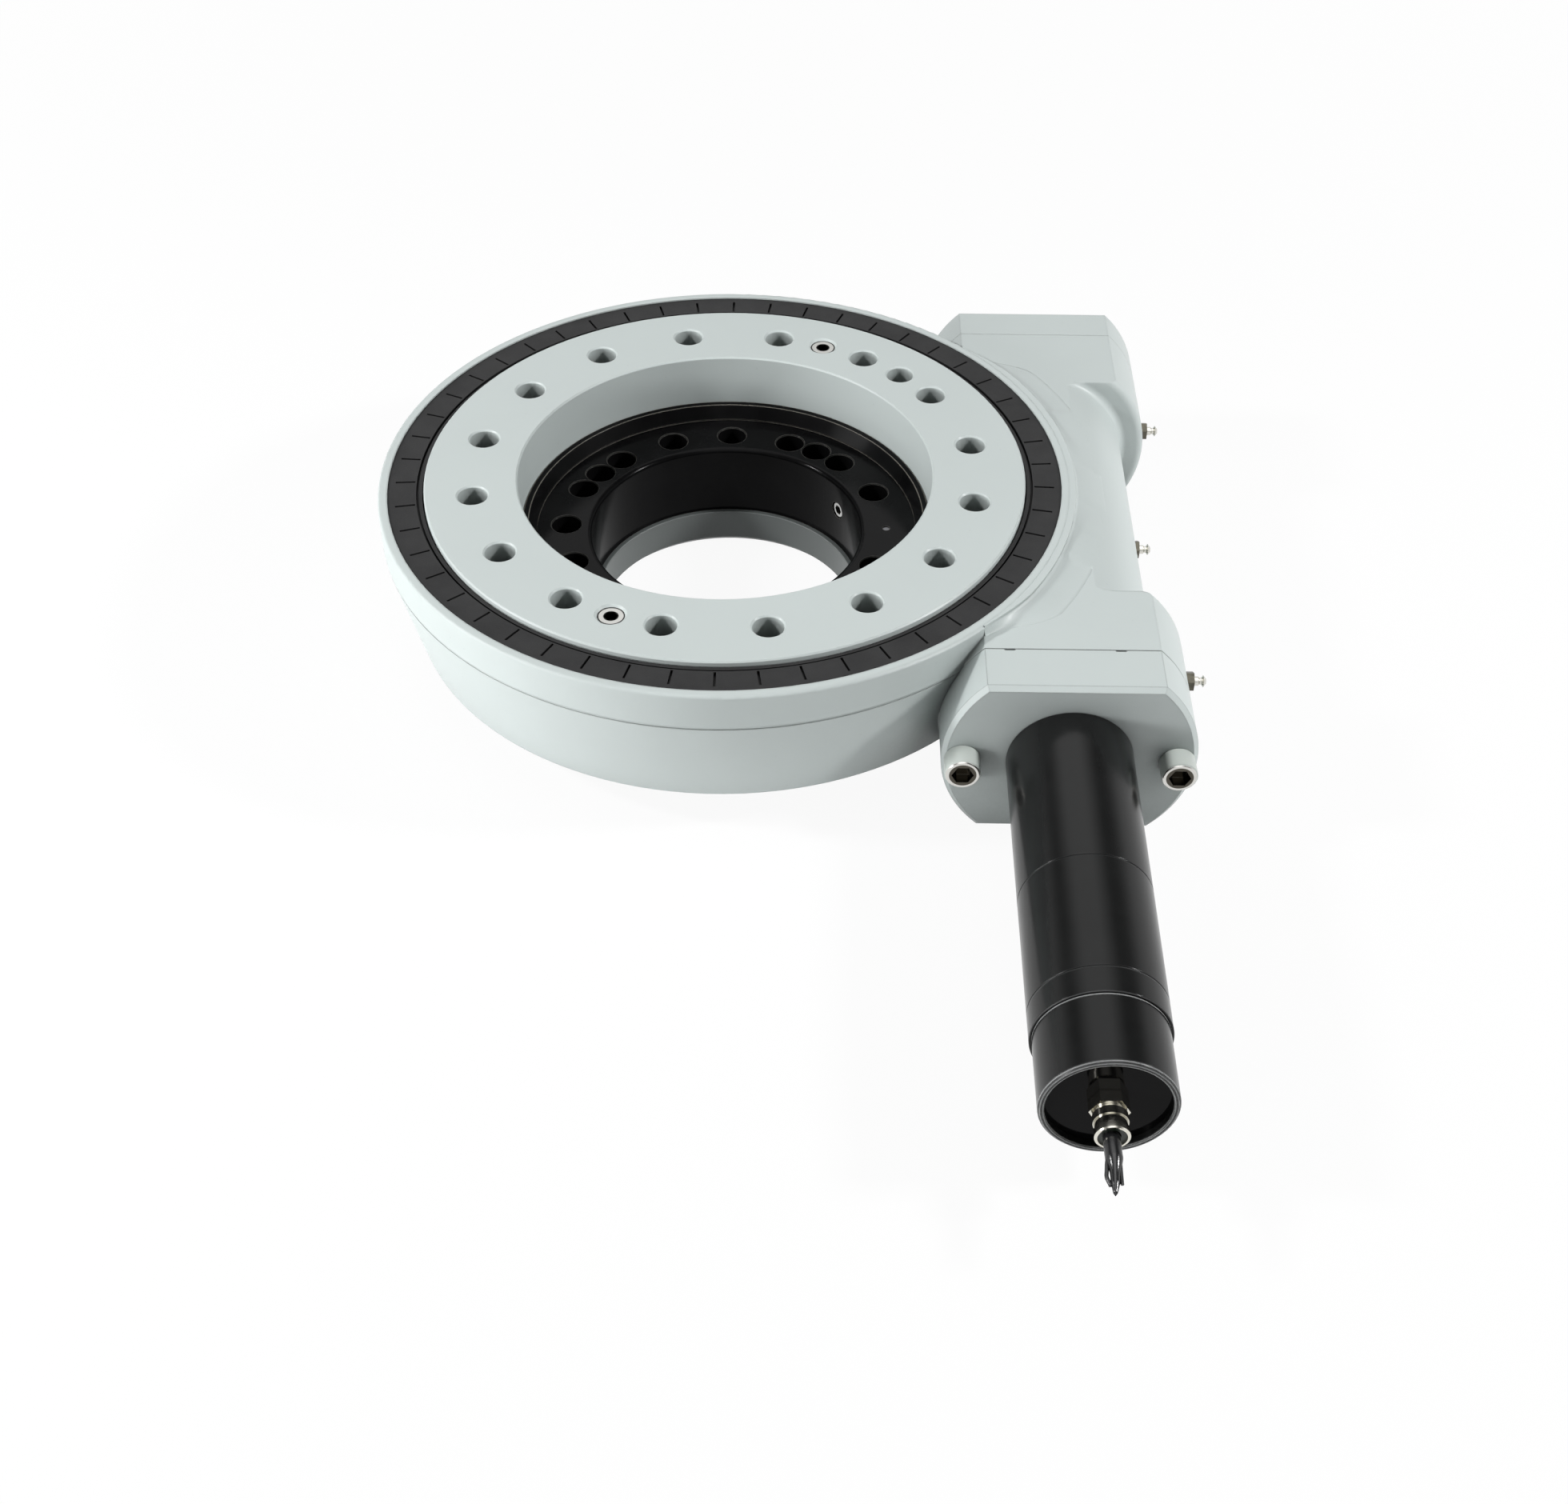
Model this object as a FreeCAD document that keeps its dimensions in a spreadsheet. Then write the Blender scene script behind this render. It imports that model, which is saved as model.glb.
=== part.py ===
import FreeCAD, Part
import math
import os
from types import SimpleNamespace

import Sketcher
from FreeCAD import Placement, Rotation, Vector

# Worm slewing drive: a fixed inner ring in a cast housing, a toothed slewing ring around it on balls, and a
# worm across the housing that a planetary gearmotor turns. +Z is the slewing axis, z = 0 is the base face,
# and the worm runs along Y on the +X side, with the motor towards -Y.

SIZES = {
    # Housing
    "overall_height": 101,
    "floor_thickness": 21.5,
    "base_bore_step": 2.5,
    "base_bore_chamfer": 3.5,
    "base_face_inset": 28.5,
    "foot_inset": 13.2,
    "foot_height": 24,
    "rim_reach": 27.2,
    "rim_wall": 5,
    "rim_drop": 1.5,
    "rim_band": 20,
    "rim_step": 0.2,
    "rim_groove": 1,
    "rim_round": 1.4,
    "cavity_gap": 2,
    # Worm tube of the housing
    "tube_wall": 19,
    "boss_wall": 27.5,
    "flat_depth": 2.5,
    "flat_rise": 0.5,
    "front_face": 138,
    "front_boss": 47,
    "rear_face": 152,
    "rear_boss": 51,
    "worm_bore_gap": 1.5,
    "seat_stock": 3,
    "cast_fillet": 4,
    # Slewing ring
    "gear_module": 5,
    "gear_teeth": 61,
    "gear_face": 36,
    "flank_gap": 0.65,
    "ring_overhang": 3,
    "ring_bore_step": 2.5,
    "ring_lip": 13,
    "ring_floor_gap": 2.5,
    "ring_shoulder_rise": 3.5,
    "top_bolt_inset": 25.5,
    "top_bolts": 16,
    "top_bolt_turn": 11.25,
    "top_hole": 16,
    "top_hole_depth": 28,
    "spare_hole": 15,
    "ring_chamfer": 0.8,
    "plug_hole": 14,
    "plug_depth": 10,
    "plug_recess": 1.2,
    # Inner ring and balls
    "inner_ring_height": 42,
    "inner_ring_width": 32,
    "inner_bore_round": 2.5,
    "base_bolt_inset": 18,
    "base_bolts": 16,
    "base_hole": 16,
    "ball_inset": 45.5,
    "ball_dia": 16,
    "ball_clearance": 0.3,
    "spacer_dia": 10,
    "spacer_room": 4,
    "race_gap": 3,
    "inner_screw": 10,
    "inner_screw_head": 15.4,
    "inner_screw_seat": 12,
    "inner_screw_grip": 15,
    "loading_plug": 18,
    "lock_pin": 4,
    "mouth_chamfer": 0.5,
    "bore_plug": 10,
    "bore_plug_length": 10,
    "bore_plug_rise": 3,
    "fitting_drop": 0.5,
    # Seals of the ring
    "seal_height": 6,
    "seal_drop": 0.8,
    "seal_gap": 0.8,
    "seal_lip": 2,
    "seal_lip_drop": 0.4,
    "seal_groove": 1.2,
    "seal_groove_depth": 2.6,
    "seal_slots": 50,
    "seal_slot_turn": 4.1,
    "seal_slot_width": 1.25,
    "seal_slot_length": 10.5,
    "seal_slot_depth": 2,
    "lip_height": 8,
    "lip_gap": 0.4,
    "floor_seal_width": 6,
    # Worm
    "worm_pitch_dia": 47,
    "worm_length": 84,
    "shaft_collar": 42,
    "collar_width": 12,
    "shaft_overhang": 12,
    # Taper roller bearings and their seal
    "bearing_bore": 35,
    "bearing_dia": 72,
    "bearing_width": 18,
    "roller_length": 12,
    "roller_count": 14,
    "roller_clearance": 0.3,
    "shaft_seal_width": 7,
    "shaft_seal_gap": 0.35,
    # Rear cover
    "cover_thickness": 25,
    "cover_chamfer": 2.5,
    "cover_screw": 8,
    "cover_screw_head": 13,
    "cover_screw_inset": 14.5,
    "cover_screw_grip": 18,
    "oring_section": 2.6,
    # Motor flange
    "flange_thickness": 30,
    "flange_bore": 40,
    "flange_screw": 12,
    "flange_screw_head": 18,
    "flange_screw_inset": 10.3,
    "flange_screw_grip": 20,
    "flange_hole_gap": 0.5,
    "flange_joint": 0.5,
    "pry_slot": 5,
    "pry_slot_depth": 1.2,
    "left_pry_slot": 31,
    "right_pry_slot": 23.5,
    "gearbox_screw": 5,
    "gearbox_screw_head": 8.5,
    "gearbox_screw_inset": 5.5,
    "gearbox_screw_grip": 8,
    # Grease nipples
    "nipple_hex": 9,
    "nipple_shank": 6,
    "nipple_length": 10.5,
    "nipple_hex_height": 4.2,
    "nipple_sink": 2.2,
    "front_nipple_inset": 19,
    "front_nipple_rise": 11,
    "middle_nipple": 3,
    "middle_nipple_rise": 2,
    "rear_nipple_inset": 42,
    "rear_nipple_rise": 8,
    # Gearbox
    "case_wall": 3,
    "ring_gear_wall": 3.3,
    "gearbox_wall": 10,
    "gearbox_slack": 26.5,
    "pilot_length": 6,
    "planet_module": 1,
    "sun_teeth": 12,
    "planet_teeth": 18,
    "planet_length": 18,
    "planet_pin": 6,
    "planet_pin_gap": 0.3,
    "planet_backlash": 0.12,
    "carrier_thickness": 7,
    "output_shaft": 20,
    "output_shaft_gap": 0.4,
    "output_shaft_reach": 36,
    "key_width": 6,
    "key_length": 22,
    # Motor
    "can_length": 67.5,
    "can_wall": 2,
    "motor_seam": 0.4,
    "bell_spigot": 10,
    "rear_bell_length": 15,
    "motor_shaft": 8,
    "bush_gap": 0.3,
    "bush_wall": 3,
    "magnet_overhang": 2,
    "magnet_thickness": 3.5,
    "air_gap": 0.7,
    "winding_end": 8,
    "winding_slot": 3,
    "commutator_dia": 18,
    "commutator_length": 14,
    "brush_width": 6,
    "brush_length": 10,
    "brush_reach": 12,
    "holder_wall": 1.5,
    # Rear cap, cable gland and cable
    "cap_length": 38,
    "cap_step": 1.2,
    "cap_wall": 3,
    "cap_spigot": 6,
    "end_plate": 5,
    "end_plate_recess": 4,
    "gland_hex": 15.5,
    "gland_hex_height": 6,
    "gland_neck": 2,
    "gland_nut_length": 11.5,
    "gland_rim": 1.3,
    "gland_nut_dia": 15.4,
    "gland_thread": 11.6,
    "gland_shoulder": 0.5,
    "cable_dia": 7.5,
    "cable_length": 48,
}


class Size:
    """A length or count with the sheet formula that gives it."""

    def __init__(self, value, formula):
        self.value = float(value)
        self.formula = formula

    def __add__(self, other):
        return Size(self.value + value_of(other), f"({self.formula} + {formula_of(other)})")

    def __sub__(self, other):
        return Size(self.value - value_of(other), f"({self.formula} - {formula_of(other)})")

    def __mul__(self, other):
        return Size(self.value * value_of(other), f"({self.formula} * {formula_of(other)})")

    def __truediv__(self, other):
        return Size(self.value / value_of(other), f"({self.formula} / {formula_of(other)})")

    def __neg__(self):
        return Size(-self.value, f"(0 - {self.formula})")


def value_of(size):
    return size.value if isinstance(size, Size) else float(size)


def formula_of(size):
    return size.formula if isinstance(size, Size) else repr(float(size))


doc = FreeCAD.newDocument("slewing_drive")
sheet = doc.addObject("Spreadsheet::Sheet", "Sizes")
for row, (name, number) in enumerate(SIZES.items(), 1):
    sheet.set(f"A{row}", name)
    sheet.set(f"B{row}", str(number))
    sheet.setAlias(f"B{row}", name)
doc.recompute()
d = SimpleNamespace(**{name: Size(sheet.get(name), f"Sizes.{name}") for name in SIZES})
pieces = []


# Sketch and feature helpers


def new_body(label):
    body = doc.addObject("PartDesign::Body", label)
    body.Label = label
    pieces.append(body)
    return body


def bind(target, path, size):
    if isinstance(size, Size):
        target.setExpression(path, size.formula)


def place(piece, x, y, z, rotation=Rotation()):
    piece.Placement = Placement(Vector(value_of(x), value_of(y), value_of(z)), rotation)
    bind(piece, "Placement.Base.x", x)
    bind(piece, "Placement.Base.y", y)
    bind(piece, "Placement.Base.z", z)


def new_sketch(body, plane, offset=0):
    sketch = body.newObject("Sketcher::SketchObject", f"{body.Name}_sketch")
    support = [feature for feature in body.Origin.OriginFeatures if feature.Role == plane][0]
    sketch.AttachmentSupport = (support, [""])
    sketch.MapMode = "FlatFace"
    sketch.AttachmentOffset = Placement(Vector(0, 0, value_of(offset)), Rotation())
    bind(sketch, "AttachmentOffset.Base.z", offset)
    return sketch


def hold(sketch, kind, *where, size):
    index = sketch.addConstraint(Sketcher.Constraint(kind, *where, value_of(size)))
    bind(sketch, f"Constraints[{index}]", size)


def pin(sketch, geometry, point, x, y):
    hold(sketch, "DistanceX", -1, 1, geometry, point, size=x)
    hold(sketch, "DistanceY", -1, 1, geometry, point, size=y)


def polygon(sketch, points):
    corners = [Vector(value_of(x), value_of(y), 0) for x, y in points]
    first = sketch.GeometryCount
    count = len(corners)
    for i in range(count):
        sketch.addGeometry(Part.LineSegment(corners[i], corners[(i + 1) % count]), False)
    for i in range(count):
        following = first + (i + 1) % count
        sketch.addConstraint(Sketcher.Constraint("Coincident", first + i, 2, following, 1))
    for i, (x, y) in enumerate(points):
        pin(sketch, first + i, 1, x, y)


def circle(sketch, x, y, diameter):
    centre = Vector(value_of(x), value_of(y), 0)
    index = sketch.addGeometry(Part.Circle(centre, Vector(0, 0, 1), value_of(diameter) / 2), False)
    pin(sketch, index, 3, x, y)
    hold(sketch, "Diameter", index, size=diameter)


def flatted_disc(sketch, x, y, diameter, across):
    """A disc with a flat above and a flat below."""
    radius = value_of(diameter) / 2
    half = value_of(across) / 2
    tilt = math.asin(half / radius)
    centre = Vector(value_of(x), value_of(y), 0)
    round_edge = Part.Circle(centre, Vector(0, 0, 1), radius)
    right = sketch.addGeometry(Part.ArcOfCircle(round_edge, -tilt, tilt), False)
    left = sketch.addGeometry(Part.ArcOfCircle(round_edge, math.pi - tilt, math.pi + tilt), False)
    reach = radius * math.cos(tilt)
    upper = [centre + Vector(reach, half, 0), centre + Vector(-reach, half, 0)]
    lower = [centre + Vector(-reach, -half, 0), centre + Vector(reach, -half, 0)]
    top = sketch.addGeometry(Part.LineSegment(*upper), False)
    bottom = sketch.addGeometry(Part.LineSegment(*lower), False)
    for ends in ((right, 2, top, 1), (top, 2, left, 1), (left, 2, bottom, 1), (bottom, 2, right, 1)):
        sketch.addConstraint(Sketcher.Constraint("Coincident", *ends))
    pin(sketch, right, 3, x, y)
    sketch.addConstraint(Sketcher.Constraint("Coincident", left, 3, right, 3))
    sketch.addConstraint(Sketcher.Constraint("Equal", left, right))
    hold(sketch, "Radius", right, size=diameter / 2)
    sketch.addConstraint(Sketcher.Constraint("Horizontal", top))
    sketch.addConstraint(Sketcher.Constraint("Horizontal", bottom))
    hold(sketch, "DistanceY", -1, 1, top, 1, size=across / 2 + y)
    hold(sketch, "DistanceY", -1, 1, bottom, 1, size=across / -2 + y)


def finish_cut(body, before):
    doc.recompute()
    if body.Shape.Volume > before - 1e-6:
        raise RuntimeError(f"A cut in {body.Label} removed nothing")


def turn(body, sketch, kind="PartDesign::Revolution"):
    feature = body.newObject(kind, f"{body.Name}_turned")
    feature.Profile = (sketch, [""])
    feature.ReferenceAxis = (sketch, ["V_Axis"])
    feature.Angle = 360
    return feature


def turned(label, profile):
    """A piece of revolution about its own Z axis, from (radius, height) points."""
    body = new_body(label)
    sketch = new_sketch(body, "XZ_Plane")
    polygon(sketch, profile)
    turn(body, sketch)
    doc.recompute()
    return body


def ring_profile(inner, outer, low, high):
    return [(inner, low), (outer, low), (outer, high), (inner, high)]


def groove(body, draw):
    before = body.Shape.Volume
    sketch = new_sketch(body, "XZ_Plane")
    draw(sketch)
    turn(body, sketch, "PartDesign::Groove")
    finish_cut(body, before)


def pad(body, sketch, length, reverse=False):
    feature = body.newObject("PartDesign::Pad", f"{body.Name}_pad")
    feature.Profile = (sketch, [""])
    feature.Length = value_of(length)
    bind(feature, "Length", length)
    feature.Reversed = reverse
    doc.recompute()
    return feature


def pocket(body, sketch, depth, reverse=False):
    before = body.Shape.Volume
    feature = body.newObject("PartDesign::Pocket", f"{body.Name}_pocket")
    feature.Profile = (sketch, [""])
    feature.Length = value_of(depth)
    bind(feature, "Length", depth)
    feature.Reversed = reverse
    finish_cut(body, before)
    return feature


def drill(body, plane, offset, places, diameter, depth, reverse=False):
    sketch = new_sketch(body, plane, offset)
    for x, y in places:
        circle(sketch, x, y, diameter)
    return pocket(body, sketch, depth, reverse)


def around(body, feature, sketch, count):
    pattern = body.newObject("PartDesign::PolarPattern", f"{body.Name}_pattern")
    pattern.Originals = [feature]
    pattern.Axis = (sketch, ["N_Axis"])
    pattern.Angle = 360
    pattern.Occurrences = int(value_of(count))
    bind(pattern, "Occurrences", count)
    body.Tip = pattern
    doc.recompute()


def dress(body, kind, edges, size):
    """Round or chamfer the edges of the body's tip that a test picks."""
    tip = body.Tip
    names = [f"Edge{i}" for i, edge in enumerate(tip.Shape.Edges, 1) if edges(edge)]
    if not names:
        raise RuntimeError(f"No edge to dress on {body.Label}")
    feature = body.newObject(f"PartDesign::{kind}", f"{body.Name}_{kind.lower()}")
    feature.Base = (tip, names)
    prop = "Radius" if kind == "Fillet" else "Size"
    setattr(feature, prop, value_of(size))
    bind(feature, prop, size)
    doc.recompute()


def at_height(height, radius):
    """A test for the round edge of that radius about Z at that height."""

    def test(edge):
        box = edge.BoundBox
        level = abs(box.ZMin - height.value) < 1e-6 and abs(box.ZMax - height.value) < 1e-6
        return level and abs(box.XMax - radius.value) < 1e-6

    return test


def hole_mouth(height, diameter):
    """A test for the mouths at that height of holes of that diameter."""

    def test(edge):
        level = abs(edge.BoundBox.ZMin - height.value) < 1e-6 and isinstance(edge.Curve, Part.Circle)
        return level and abs(edge.Curve.Radius - diameter.value / 2) < 1e-6

    return test


def polar(diameter, degrees):
    angle = math.radians(degrees)
    return diameter / 2 * math.cos(angle), diameter / 2 * math.sin(angle)


def shaped(label, shape, placement=Placement()):
    piece = doc.addObject("Part::Feature", label)
    piece.Label = label
    piece.Shape = shape
    piece.Placement = placement.multiply(shape.Placement)
    pieces.append(piece)
    return piece


def tube(inner, outer, low, high):
    """A plain tube about Z between two heights."""
    length = value_of(high) - value_of(low)
    base = Vector(0, 0, value_of(low))
    shape = Part.makeCylinder(value_of(outer), length, base)
    if value_of(inner) == 0:
        return shape
    return shape.cut(Part.makeCylinder(value_of(inner), length, base))


def copies(shape, count, start=0):
    """Evenly turned copies about Z."""
    turns = []
    for i in range(count):
        copy = shape.copy()
        copy.rotate(Vector(), Vector(0, 0, 1), start + 360 * i / count)
        turns.append(copy)
    return turns


def hex_prism(across, low, high):
    radius = value_of(across) / math.sqrt(3)
    turns = [math.radians(60 * i) for i in range(7)]
    corners = [Vector(radius * math.cos(a), radius * math.sin(a), value_of(low)) for a in turns]
    face = Part.Face(Part.makePolygon(corners))
    return face.extrude(Vector(0, 0, value_of(high) - value_of(low)))


def cap_screw(shank, head, head_height, length):
    """A socket screw along -Z, with the underside of its head at z = 0."""
    body = Part.makeCylinder(shank / 2, length, Vector(0, 0, -length))
    top = Part.makeCylinder(head / 2, head_height)
    top = top.makeChamfer(0.06 * head, [e for e in top.Edges if e.BoundBox.ZMin > head_height - 1e-6])
    socket = hex_prism(0.8 * shank, 0.5 * head_height, head_height)
    return body.fuse(top).cut(socket).removeSplitter()


# Places worked out from the sizes

pitch_radius = d.gear_module * d.gear_teeth / 2
gear_tip = pitch_radius + d.gear_module
gear_root = pitch_radius - d.gear_module * 1.2
worm_x = pitch_radius + d.worm_pitch_dia / 2
worm_tip = d.worm_pitch_dia / 2 + d.gear_module
worm_root = d.worm_pitch_dia / 2 - d.gear_module * 1.2
worm_bore = worm_tip + d.worm_bore_gap
tube_dia = (worm_bore + d.tube_wall) * 2
boss_dia = d.bearing_dia + d.boss_wall * 2
across_flats = tube_dia - d.flat_depth * 2
worm_height = across_flats / 2 + d.flat_rise
worm_line = Placement(Vector(worm_x.value, 0, worm_height.value), Rotation(Vector(1, 0, 0), -90))

rim_top = d.overall_height - d.rim_drop
rim_radius = gear_tip + d.rim_reach
rim_inner = rim_radius - d.rim_wall
seal_top = rim_top - d.seal_drop
seal_seat = seal_top - d.seal_height
ring_neck = d.overall_height - d.ring_lip
cavity = gear_tip + d.cavity_gap
inner_top = d.floor_thickness + d.inner_ring_height
ball_height = d.floor_thickness + d.inner_ring_height / 2
race_section = d.ball_dia + d.ball_clearance * 2
ring_bottom = d.floor_thickness + d.ring_floor_gap
ball_orbit = pitch_radius - d.ball_inset
ring_radius = gear_tip + d.ring_overhang
ring_inside = ball_orbit + d.race_gap / 2
ring_bore = ring_inside + d.ring_bore_step
ring_shoulder = inner_top + d.ring_shoulder_rise
top_bolt_circle = (ring_radius - d.top_bolt_inset) * 2
inner_outside = ball_orbit - d.race_gap / 2
inner_bore = inner_outside - d.inner_ring_width
base_bolt_circle = (inner_outside - d.base_bolt_inset) * 2
base_pitch = 360 / d.base_bolts.value
bore_plug_turn = base_pitch * 1.5
inner_screw_turns = [base_pitch * (d.base_bolts.value / 8 + 0.5) + 90 * i for i in range(4)]

ring_gear_teeth = d.sun_teeth + d.planet_teeth * 2
ring_gear_root = d.planet_module * (ring_gear_teeth / 2 + 1.2)
motor_dia = (ring_gear_root + d.ring_gear_wall + d.case_wall) * 2

front = -d.front_face
flange_front = front - d.flange_thickness
gearbox_length = (
    d.gearbox_wall + d.carrier_thickness * 2 + d.planet_length * 2 + d.gearbox_slack + d.bell_spigot
)
gearbox_end = flange_front - gearbox_length
can_end = gearbox_end - d.can_length
bell_end = can_end - d.rear_bell_length
cap_end = bell_end - d.cap_length
bearing_seat = d.shaft_seal_width + d.bearing_width
front_shoulder = front + bearing_seat
rear_shoulder = d.rear_face - bearing_seat
flange_screw_reach = boss_dia / 2 - d.flange_screw_inset
cover_screw_circle = boss_dia - d.cover_screw_inset * 2
gearbox_screw_circle = motor_dia - d.gearbox_screw_inset * 2
flange_screws = [(worm_x + flange_screw_reach * side, worm_height) for side in (-1, 1)]
cover_screw_turns = [45, 135, 225, 315]
nipple_places = [
    (d.front_nipple_inset - d.front_face, worm_height + d.front_nipple_rise, boss_dia / 2),
    (d.middle_nipple, worm_height + d.middle_nipple_rise, tube_dia / 2),
    (d.rear_face - d.rear_nipple_inset, worm_height + d.rear_nipple_rise, boss_dia / 2),
]


def on_worm_line(piece):
    place(piece, worm_x, 0, worm_height, worm_line.Rotation)
    return piece


def make_housing():
    body = new_body("housing")
    sketch = new_sketch(body, "XZ_Plane")
    band_low = rim_top - d.rim_band
    bore = inner_bore - d.base_bore_step
    foot = rim_radius - d.foot_inset
    polygon(sketch, [
        (bore + d.base_bore_chamfer, 0),
        (foot - d.base_face_inset, 0),
        (foot, d.foot_height),
        (rim_radius - d.rim_step, band_low - d.rim_groove),
        (rim_radius - d.rim_groove, band_low - d.rim_groove),
        (rim_radius - d.rim_groove, band_low),
        (rim_radius, band_low),
        (rim_radius, rim_top),
        (bore, rim_top),
        (bore, d.base_bore_chamfer),
    ])
    turn(body, sketch)
    doc.recompute()
    dress(body, "Fillet", at_height(rim_top, rim_radius), d.rim_round)
    for offset, diameter, length, reverse in (
        (d.front_face + d.seat_stock, boss_dia, d.front_boss + d.seat_stock, True),
        (d.front_face, tube_dia, d.front_face + d.rear_face, True),
        (-d.rear_face, boss_dia, d.rear_boss, False),
    ):
        sketch = new_sketch(body, "XZ_Plane", offset)
        flatted_disc(sketch, worm_x, worm_height, diameter, across_flats)
        pad(body, sketch, length, reverse)
    soften_boss_steps(body)
    ledge = ring_radius + d.cavity_gap
    groove(body, lambda sketch: polygon(sketch, [
        (0, d.floor_thickness),
        (cavity, d.floor_thickness),
        (cavity, ring_neck - d.cavity_gap),
        (ledge, ring_neck - d.cavity_gap),
        (ledge, seal_seat),
        (rim_inner, seal_seat),
        (rim_inner, d.overall_height),
        (0, d.overall_height),
    ]))
    sketch = new_sketch(body, "XZ_Plane", d.front_face)
    flatted_disc(sketch, worm_x, worm_height, boss_dia, across_flats)
    pocket(body, sketch, d.flange_thickness, True)
    axis = [(worm_x, worm_height)]
    drill(body, "XZ_Plane", d.front_face, axis, worm_bore * 2, d.front_face + d.rear_face)
    drill(body, "XZ_Plane", d.front_face, axis, d.bearing_dia, bearing_seat)
    drill(body, "XZ_Plane", -d.rear_face, axis, d.bearing_dia, bearing_seat, True)
    drill(body, "XZ_Plane", d.front_face, flange_screws, d.flange_screw, d.flange_screw_grip)
    cover_places = []
    for turn_angle in cover_screw_turns:
        x, z = polar(cover_screw_circle, turn_angle)
        cover_places.append((worm_x + x, worm_height + z))
    drill(body, "XZ_Plane", -d.rear_face, cover_places, d.cover_screw, d.cover_screw_grip, True)
    seat_width = d.nipple_hex * 1.25
    for y, z, outside in nipple_places:
        drill(body, "YZ_Plane", worm_x + outside, [(y, z)], d.nipple_shank, outside - worm_bore)
        drill(body, "YZ_Plane", worm_x + outside, [(y, z)], seat_width, d.nipple_sink)
    drill(body, "XY_Plane", 0, base_places(), d.base_hole, d.floor_thickness, True)
    screws = [polar(base_bolt_circle, angle) for angle in inner_screw_turns]
    drill(body, "XY_Plane", d.floor_thickness, screws, d.inner_screw, d.inner_screw_grip)


def soften_boss_steps(body):
    """Round the casting where the bosses stand up from the worm tube."""
    steps = (front.value + d.front_boss.value, d.rear_face.value - d.rear_boss.value)
    outside = worm_x.value + tube_dia.value / 2 - 1

    def on_step(edge):
        box = edge.BoundBox
        stands = box.YLength < 1e-6 and any(abs(box.YMin - y) < 1e-6 for y in steps)
        return stands and box.XMax > outside and isinstance(edge.Curve, Part.Circle)

    dress(body, "Fillet", on_step, d.cast_fillet)


def base_places():
    """Every place of the base bolt circle but the first, where the loading plug is."""
    return [polar(base_bolt_circle, base_pitch * i) for i in range(1, int(d.base_bolts.value))]


def make_inner_ring():
    section = ring_profile(inner_bore, inner_outside, d.floor_thickness, inner_top)
    body = turned("inner_ring", section)
    dress(body, "Chamfer", at_height(inner_top, inner_outside), d.ring_chamfer)
    dress(body, "Fillet", at_height(inner_top, inner_bore), d.inner_bore_round)
    groove(body, lambda sketch: circle(sketch, ball_orbit, ball_height, race_section))
    drill(body, "XY_Plane", inner_top, base_places(), d.base_hole, d.inner_ring_height)
    screws = [polar(base_bolt_circle, angle) for angle in inner_screw_turns]
    drill(body, "XY_Plane", inner_top, screws, d.inner_screw, d.inner_ring_height)
    drill(body, "XY_Plane", inner_top, screws, d.base_hole, d.inner_ring_height - d.inner_screw_seat)
    dress(body, "Chamfer", hole_mouth(inner_top, d.base_hole), d.mouth_chamfer)
    through = d.race_gap + d.inner_ring_width
    drill(body, "YZ_Plane", inner_outside, [(0, ball_height)], d.loading_plug, through)
    drill(body, "XY_Plane", inner_top, [(base_bolt_circle / 2, 0)], d.lock_pin, d.inner_ring_height / 2)
    sink_bore_plug(body)


def bore_plug_frame(radius):
    """The place at that radius on the bore plug's line, and the turn that points +Z outwards."""
    x, y = polar(radius * 2, bore_plug_turn)
    return x, y, ball_height + d.bore_plug_rise, Rotation(Vector(0, 0, 1), Vector(x.value, y.value, 0))


def sink_bore_plug(body):
    before = body.Shape.Volume
    hole = body.newObject("PartDesign::SubtractiveCylinder", "inner_ring_plug_hole")
    hole.Radius = value_of(d.bore_plug / 2)
    bind(hole, "Radius", d.bore_plug / 2)
    depth = d.bore_plug_length + d.fitting_drop * 2
    hole.Height = value_of(depth)
    bind(hole, "Height", depth)
    place(hole, *bore_plug_frame(inner_bore - d.fitting_drop))
    finish_cut(body, before)


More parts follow.
